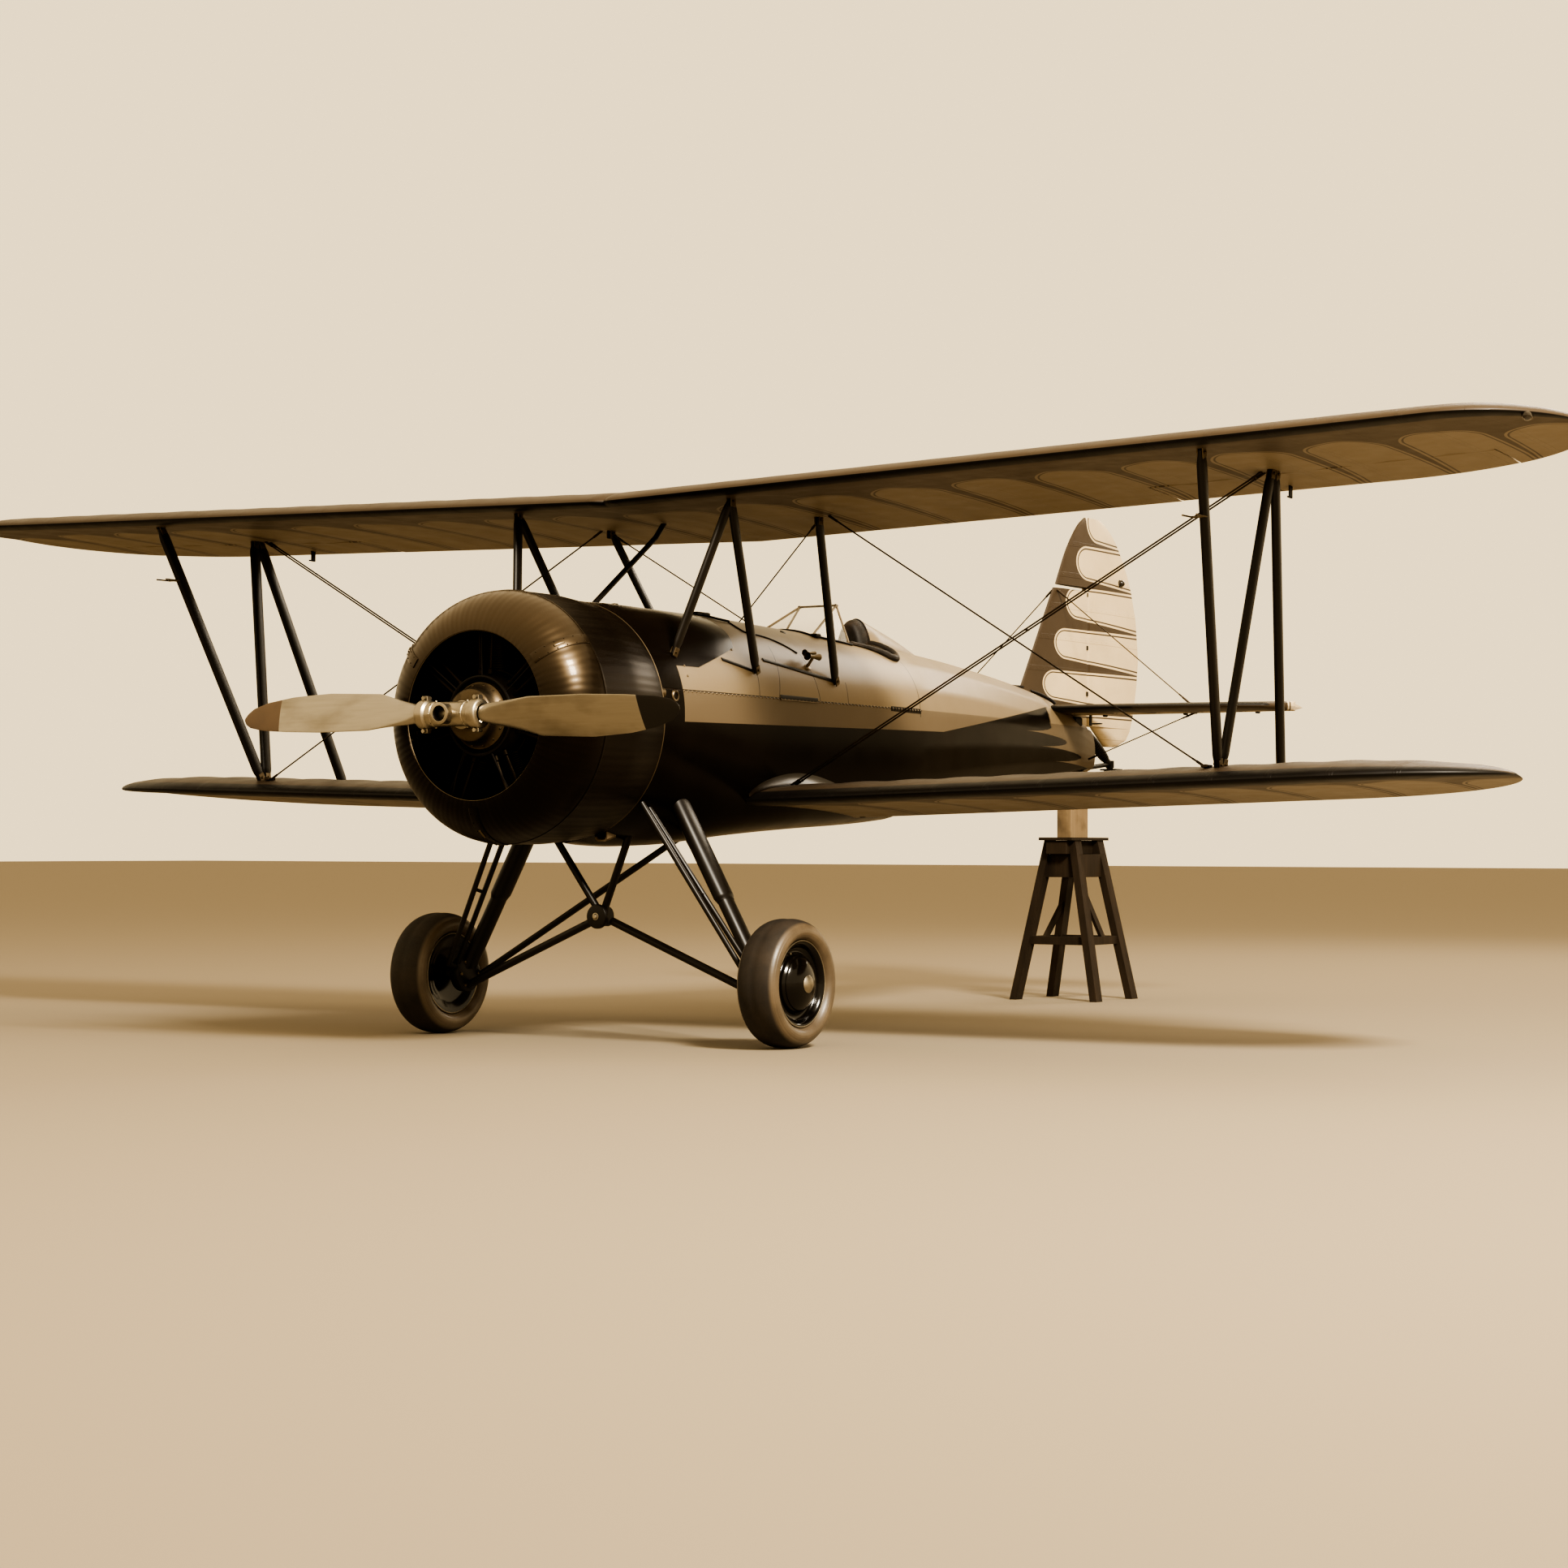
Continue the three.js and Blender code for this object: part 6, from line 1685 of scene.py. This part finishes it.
def build_wires(word, side, metal):
    """The double wires that carry the lift, with their spreaders, and the single landing wire."""
    shape = Shape()
    foot = skin_point(LOWER, 510, (890 - LOWER.root_y) / LOWER.chord, 1, side)
    top = spar_point(UPPER, STRUT_UPPER_X - 60, REAR_SPAR, -1, side)
    for step in (-18, 18):
        wire(shape, foot + AFT * step, top + AFT * step, 4.2)
    for part in (0.015, 0.52, 0.985):
        middle = foot.lerp(top, part)
        shape.tube([middle - AFT * 21, middle + AFT * 21], 5, 12)
    shape.finish(f"flying_wire_pair_{word}", [metal], slot="steel", replaces=[f"flying_wires_{word}"])
    shape = Shape()
    foot = spar_point(LOWER, STRUT_LOWER_X - 60, FRONT_SPAR, 1, side)
    wire(shape, foot, spar_point(UPPER, CABANE_X + 60, REAR_SPAR, -1, side), 4)
    shape.block(foot + UP * 8, (34, 60, 16), edge=4)
    shape.finish(f"landing_wire_run_{word}", [metal], slot="steel", replaces=[f"landing_wire_{word}"])


def build_bracing(metal):
    """Thin wires that the drawings leave out: behind the cabane and round the tail."""
    shape = Shape()
    for _, side in SIDES:
        upper, lower = sided(side, (UPPER_BRACE, LOWER_BRACE))
        top = spar_point(UPPER, CABANE_X, REAR_SPAR, -1, side)
        wire(shape, top + Vector((-side * 12, 6, -22)), (-side * 452, 1372, 1826))
        wire(shape, (side * 18, 4676, 2545), upper)
        wire(shape, (side * 92, 4950, 1500), lower - UP)
        for spot in (upper, lower):
            shape.block(spot, (22, 36, 14), edge=3)
    shape.finish("brace_wires", [metal], slot="steel")


def build_tail_fittings(metal, dark, paint, lamp):
    """Hinges, brackets and the tail leg's sleeve, the elevator horns, and the rudder's bar and lamp."""
    fixed, moving, swing = Shape(), Shape(), Shape()
    fixed.block(Vector((0, 4196, 1922)), (24, 196, 20), finish=1, edge=4)
    for _, side in SIDES:
        fixed.tube(rounded(sided(side, TAIL_PIPE), 2), 10, 12, 1)
        hinge = Vector((0, HINGE_ELEVATOR_Y, TAILPLANE_Z))
        for x in (210, 760, 1240):
            fixed.block(hinge + Vector((side * x, -30, -27)), (16, 40, 22), finish=1, edge=3)
        fixed.block(Vector((side * 54, 4862, 1732)), (38, 92, 58), finish=1, edge=8)
        swing.block(hinge + Vector((side * 88, 8, -48)), (7, 30, 84), finish=1, edge=2)
        moving.block(Vector((side * 70, HINGE_RUDDER_Y + 8, 1728)), (74, 28, 8), finish=1, edge=2)
    for z in (1915, 2205, 2540):
        fixed.block(Vector((0, HINGE_RUDDER_Y - 34, z)), (60, 20, 30), finish=1, edge=3)
    low, high = SLEEVE
    shares = spread(low, high, 57)
    bulges = [math.sin(math.pi * (s - low) / (high - low)) ** 0.5 for s in shares]
    radii = [mix(24, 33, bulge) + 1.8 * math.sin(s * 130) for bulge, s in zip(bulges, shares)]
    fixed.tube([TAIL_LEG[0].lerp(TAIL_LEG[1], s) for s in shares], radii, 24, 1)
    fixed.finish("tail_fittings", [metal, dark, paint], slot="steel")
    swing.finish("elevator_horns", [metal, dark], body="elevators", slot="steel")
    moving.lathe(TAIL_LAMP, (17, 5548, 2648), OUT, 28, 2)
    moving.finish("rudder_fittings", [metal, dark, lamp], body="rudder", slot="steel")


def build_wing_fittings(word, side, metal, dark, lamp):
    """The tip's lamp and the pitot tubes on the front strut, and the arm under the aileron."""
    shape = Shape()
    nose, _, _, z = wing_at(UPPER, LAMP_X)
    shape.lathe(WING_LAMP, Vector((side * LAMP_X, nose + 26, z - 16)), AFT, 24, 2)
    low, top = strut_ends("front", side)
    strut_face = low.lerp(top, PITOT_SHARE)
    head = strut_face - AFT * PITOT_REACH
    shape.tube([strut_face - AFT * 10, head - AFT * 4], 5, 10)
    shape.tube([head - OUT * side * 34, head + OUT * side * 34], 5, 10)
    for across in (-34, 34):
        start = head + OUT * side * across
        shape.tube([start + AFT * 10, start - AFT * 96], 4, 10)
    shape.finish(f"wing_fittings_{word}", [metal, dark, lamp], slot="steel")
    arm = Shape()
    root = skin_point(UPPER, ARM_X, ARM_CHORD, -1, side)
    arm.block(root - UP * 26, (7, 34, 66), finish=1, edge=2)
    arm.block(root - UP * 54 - AFT * 16, (7, 40, 8), finish=1, edge=2)
    arm.finish(f"aileron_arm_{word}", [metal, dark], body=f"aileron_{word}", slot="steel")


def build_trestle_beam(timber):
    """The beam between the sawhorse's legs, under its top board."""
    beam = Shape().block(Vector((0, 4930, 948)), (144, 472, 86), edge=4)
    beam.finish("trestle_beam", [timber], slot="wood")


# Stage

FLOOR_REACH, FLOOR_COLOUR, BACKDROP_COLOUR = 120, (0.24, 0.20, 0.145, 1), (1.0, 0.79, 0.49, 1)
LIGHTS = (  # name, place, target, size, power, colour
    ("key", (12, -7, 11), (0, -1.5, 1.5), 3.2, 5600, (1.0, 0.91, 0.76)),
    ("back", (2, 12, 9), (0, 1, 1.8), 6, 800, (1.0, 0.9, 0.76)),
)
CAMERA_PLACE, CAMERA_LENS = (8.90589, -14.39060, 0.95600), 70.19
CAMERA_YAW, CAMERA_PITCH, CAMERA_ROLL = (math.radians(d) for d in (-32.988, 1.155, 0.112))
SMOOTH_BELOW = math.radians(38)


def build_stage():
    r = FLOOR_REACH
    floor = bpy.data.meshes.new("floor")
    floor.from_pydata([(-r, -r, 0), (r, -r, 0), (r, r, 0), (-r, r, 0)], [], [(0, 1, 2, 3)])
    plane = bpy.data.objects.new("floor", floor)
    paper = Surface("floor_paper", Base_Color=FLOOR_COLOUR, Roughness=0.95, Specular_IOR_Level=0.1)
    floor.materials.append(paper.material)
    bpy.context.scene.collection.objects.link(plane)
    world = bpy.data.worlds.new("studio")
    world.use_nodes = True
    backdrop = world.node_tree.nodes["Background"]
    backdrop.inputs["Color"].default_value = BACKDROP_COLOUR
    backdrop.inputs["Strength"].default_value = 1.25
    bpy.context.scene.world = world
    bpy.context.scene.view_settings.look = "AgX - High Contrast"
    for light in LIGHTS:
        area_light(*light)


def area_light(name, place, target, size, power, colour):
    light = bpy.data.lights.new(name, "AREA")
    light.size = size
    light.energy = power
    light.color = colour
    obj = bpy.data.objects.new(name, light)
    obj.location = place
    obj.rotation_euler = (Vector(target) - Vector(place)).to_track_quat("-Z", "Y").to_euler()
    bpy.context.scene.collection.objects.link(obj)


def build_camera():
    """The photograph's own view: place, direction and focal length worked out from the object."""
    data = bpy.data.cameras.new("camera")
    data.sensor_width = 36
    data.lens = CAMERA_LENS
    data.clip_end = 500
    camera = bpy.data.objects.new("camera", data)
    yaw, pitch, roll = CAMERA_YAW, CAMERA_PITCH, CAMERA_ROLL
    forward = Vector((math.sin(yaw) * math.cos(pitch), math.cos(yaw) * math.cos(pitch), math.sin(pitch)))
    right = Vector((math.cos(yaw), -math.sin(yaw), 0))
    up = right.cross(forward)
    right, up = right * math.cos(roll) + up * math.sin(roll), up * math.cos(roll) - right * math.sin(roll)
    turn = Matrix((right, up, -forward)).transposed().to_4x4()
    camera.matrix_world = Matrix.Translation(CAMERA_PLACE) @ turn
    bpy.context.scene.collection.objects.link(camera)
    bpy.context.scene.camera = camera


def carry_over(finishes):
    """CAD pieces whose shape stays: a procedural finish and smooth shading over the same mesh."""
    group = smoothing_group()
    for names, material in finishes:
        for name in names.split():
            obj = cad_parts[name]
            obj.data.materials.clear()
            obj.data.materials.append(material)
            modifier = obj.modifiers.new("smooth", "NODES")
            modifier.node_group = group


def smoothing_group():
    """Geometry nodes that join equal points, shade the faces smooth and keep the sharp edges."""
    group = bpy.data.node_groups.new("merge_and_smooth", "GeometryNodeTree")
    for direction in ("INPUT", "OUTPUT"):
        group.interface.new_socket("Geometry", in_out=direction, socket_type="NodeSocketGeometry")
    new = group.nodes.new
    start, end = new("NodeGroupInput"), new("NodeGroupOutput")
    merge = new("GeometryNodeMergeByDistance")
    faces, edges = new("GeometryNodeSetShadeSmooth"), new("GeometryNodeSetShadeSmooth")
    angle, sharp = new("GeometryNodeInputMeshEdgeAngle"), new("FunctionNodeCompare")
    merge.inputs["Distance"].default_value = 1e-5
    edges.domain = "EDGE"
    edges.inputs["Shade Smooth"].default_value = False
    sharp.operation = "GREATER_THAN"
    sharp.inputs[1].default_value = SMOOTH_BELOW
    for source, target, socket in (
        (start, merge, 0), (merge, faces, 0), (faces, edges, 0), (edges, end, 0),
        (angle, sharp, 0), (sharp, edges, "Selection"),
    ):
        group.links.new(source.outputs[0], target.inputs[socket])
    return group


build_camera()
build_stage()

wing_ribs, tail_rib_pitch = (RIB_PITCH / 1000, RIB_START / 1000), 0.2
upper_cloth = fabric_finish("upper_wing_fabric", *wing_ribs, "x", wing_paint(UPPER, 0.085, 0.02, 0.0))
lower_cloth = fabric_finish("lower_wing_fabric", *wing_ribs, "x", wing_paint(LOWER, 0.2, 0.04, 0.027))
tail_cloth = fabric_finish("tailplane_fabric", tail_rib_pitch, 0.06, "x", tailplane_paint)
fin_cloth = fabric_finish("fin_fabric", tail_rib_pitch, 0.05, "z", fin_paint)
hull_paint = hull_finish("hull_paint")
dark_paint = cowl_paint("dark_enamel")
scoop_paint = gloss_paint("scoop_enamel", (0.15, 0.112, 0.07), (0.09, 0.066, 0.04), 0.34)
brown_paint = gloss_paint("brown_enamel", BROWN, BROWN_WORN, 0.3)
strut_paint = gloss_paint("strut_enamel", (0.006, 0.004, 0.0024), DARK_WORN, 0.36, 0.0, 0.34)
wheel_paint = gloss_paint("wheel_enamel", (0.003, 0.002, 0.0014), (0.007, 0.005, 0.003), 0.12, 0.2, 0.3)
blade_finish = blade_metal("blade_aluminium")
hub_metal = bare_metal("hub_steel", (0.40, 0.355, 0.28), 0.36)
steel = bare_metal("steel_fittings", (0.17, 0.135, 0.092), 0.42)
wire_steel = bare_metal("wire_steel", (0.07, 0.053, 0.036), 0.5)
engine_finish = bare_metal("engine_metal", (0.028, 0.021, 0.014), 0.5, stain=BLACK, amount=0.7)
nose_metal = bare_metal("nose_metal", (0.12, 0.093, 0.062), 0.42, amount=0.5)
dark_fitting = gloss_paint("blackened_steel", BLACK, DARK_WORN, 0.4, 0.0)
tyre_finish = rubber("tyre_rubber", WHEEL_X / 1000, 0, WHEEL_Z / 1000, TYRE_WIDTH / 2000, TYRE_OUTER / 1000)
tail_rubber = rubber("tail_tyre_rubber", 0, 5.48, 1.335, 0.035, 0.1)
grip_rubber = rubber("grip_rubber", 0, 0, 0, 9, 9)
leather_finish = leather("cockpit_leather")
clear = glass("windshield_glass")
lamp_glass = gloss_paint("lamp_lens", (0.01, 0.006, 0.003), (0.03, 0.018, 0.012), 0.1, 0.8, 0.5)
dial_paint = gloss_paint("dial_marks", (0.5, 0.42, 0.30), CREAM_WORN, 0.5, 0.0)
trestle_wood = wood("trestle_timber", (0.036, 0.023, 0.013), (0.009, 0.006, 0.0035))
block_wood = wood("block_timber", (0.27, 0.20, 0.12), (0.15, 0.102, 0.056))
lining = gloss_paint("cockpit_lining", (0.035, 0.025, 0.015), (0.02, 0.014, 0.008), 0.5, 0.0)

build_hull(hull_paint, lining)
build_hull_trim(steel, dark_fitting)
build_deck_fittings(steel, dark_fitting, hull_paint)
build_headrest(hull_paint, leather_finish)
build_coaming(leather_finish)
build_windshield(steel, dark_fitting, clear)
build_instruments(steel, dark_fitting, dial_paint)
build_stick_grip(grip_rubber)
build_seat_cushion(leather_finish)
build_cowl(dark_paint, steel)
build_scoop(scoop_paint)
build_engine(engine_finish, nose_metal, dark_fitting)
build_hub(hub_metal, dark_fitting)
build_fin(fin_cloth)
build_rudder(fin_cloth)
build_tailplane(tail_cloth)
build_tail_fittings(steel, dark_fitting, brown_paint, lamp_glass)
build_bracing(wire_steel)
build_apex(strut_paint, hub_metal)
build_trestle_beam(trestle_wood)
for word, side in SIDES:
    cove = AILERON_HINGE - (AILERON_NOSE + 12) / UPPER.chord
    upper_bays = ((UPPER_ROOT_X, AILERON_FROM, 1.0), (AILERON_FROM, AILERON_TO, cove))
    build_wing("upper", UPPER, word, side, upper_bays, upper_cloth)
    build_aileron(word, side, upper_cloth)
    build_wing("lower", LOWER, word, side, ((LOWER_ROOT_X, LOWER.back_round, 1.0),), lower_cloth)
    build_wing_fittings(word, side, steel, dark_fitting, lamp_glass)
    build_fillet(word, side, dark_paint)
    build_blade(word, side, blade_finish)
    build_wheel(word, side, tyre_finish, wheel_paint, hub_metal)
    build_wires(word, side, wire_steel)
    build_struts(word, side, strut_paint, steel)
    build_gear(word, side, strut_paint, steel)

carry_over((
    ("exhaust_pipe control_stick", steel),
    ("seat instrument_panel", lining),
    ("fuel_pipe tail_wheel_leg tail_wheel_fork gear_apex", strut_paint),
    *((f"gear_{part}_{word}", strut_paint) for part in ("front_strut", "drag_strut", "axle")
      for word, _ in SIDES),
    ("tail_tyre", tail_rubber),
    ("tail_wheel_hub", wheel_paint),
    ("trestle", trestle_wood),
    ("tail_block", block_wood),
))
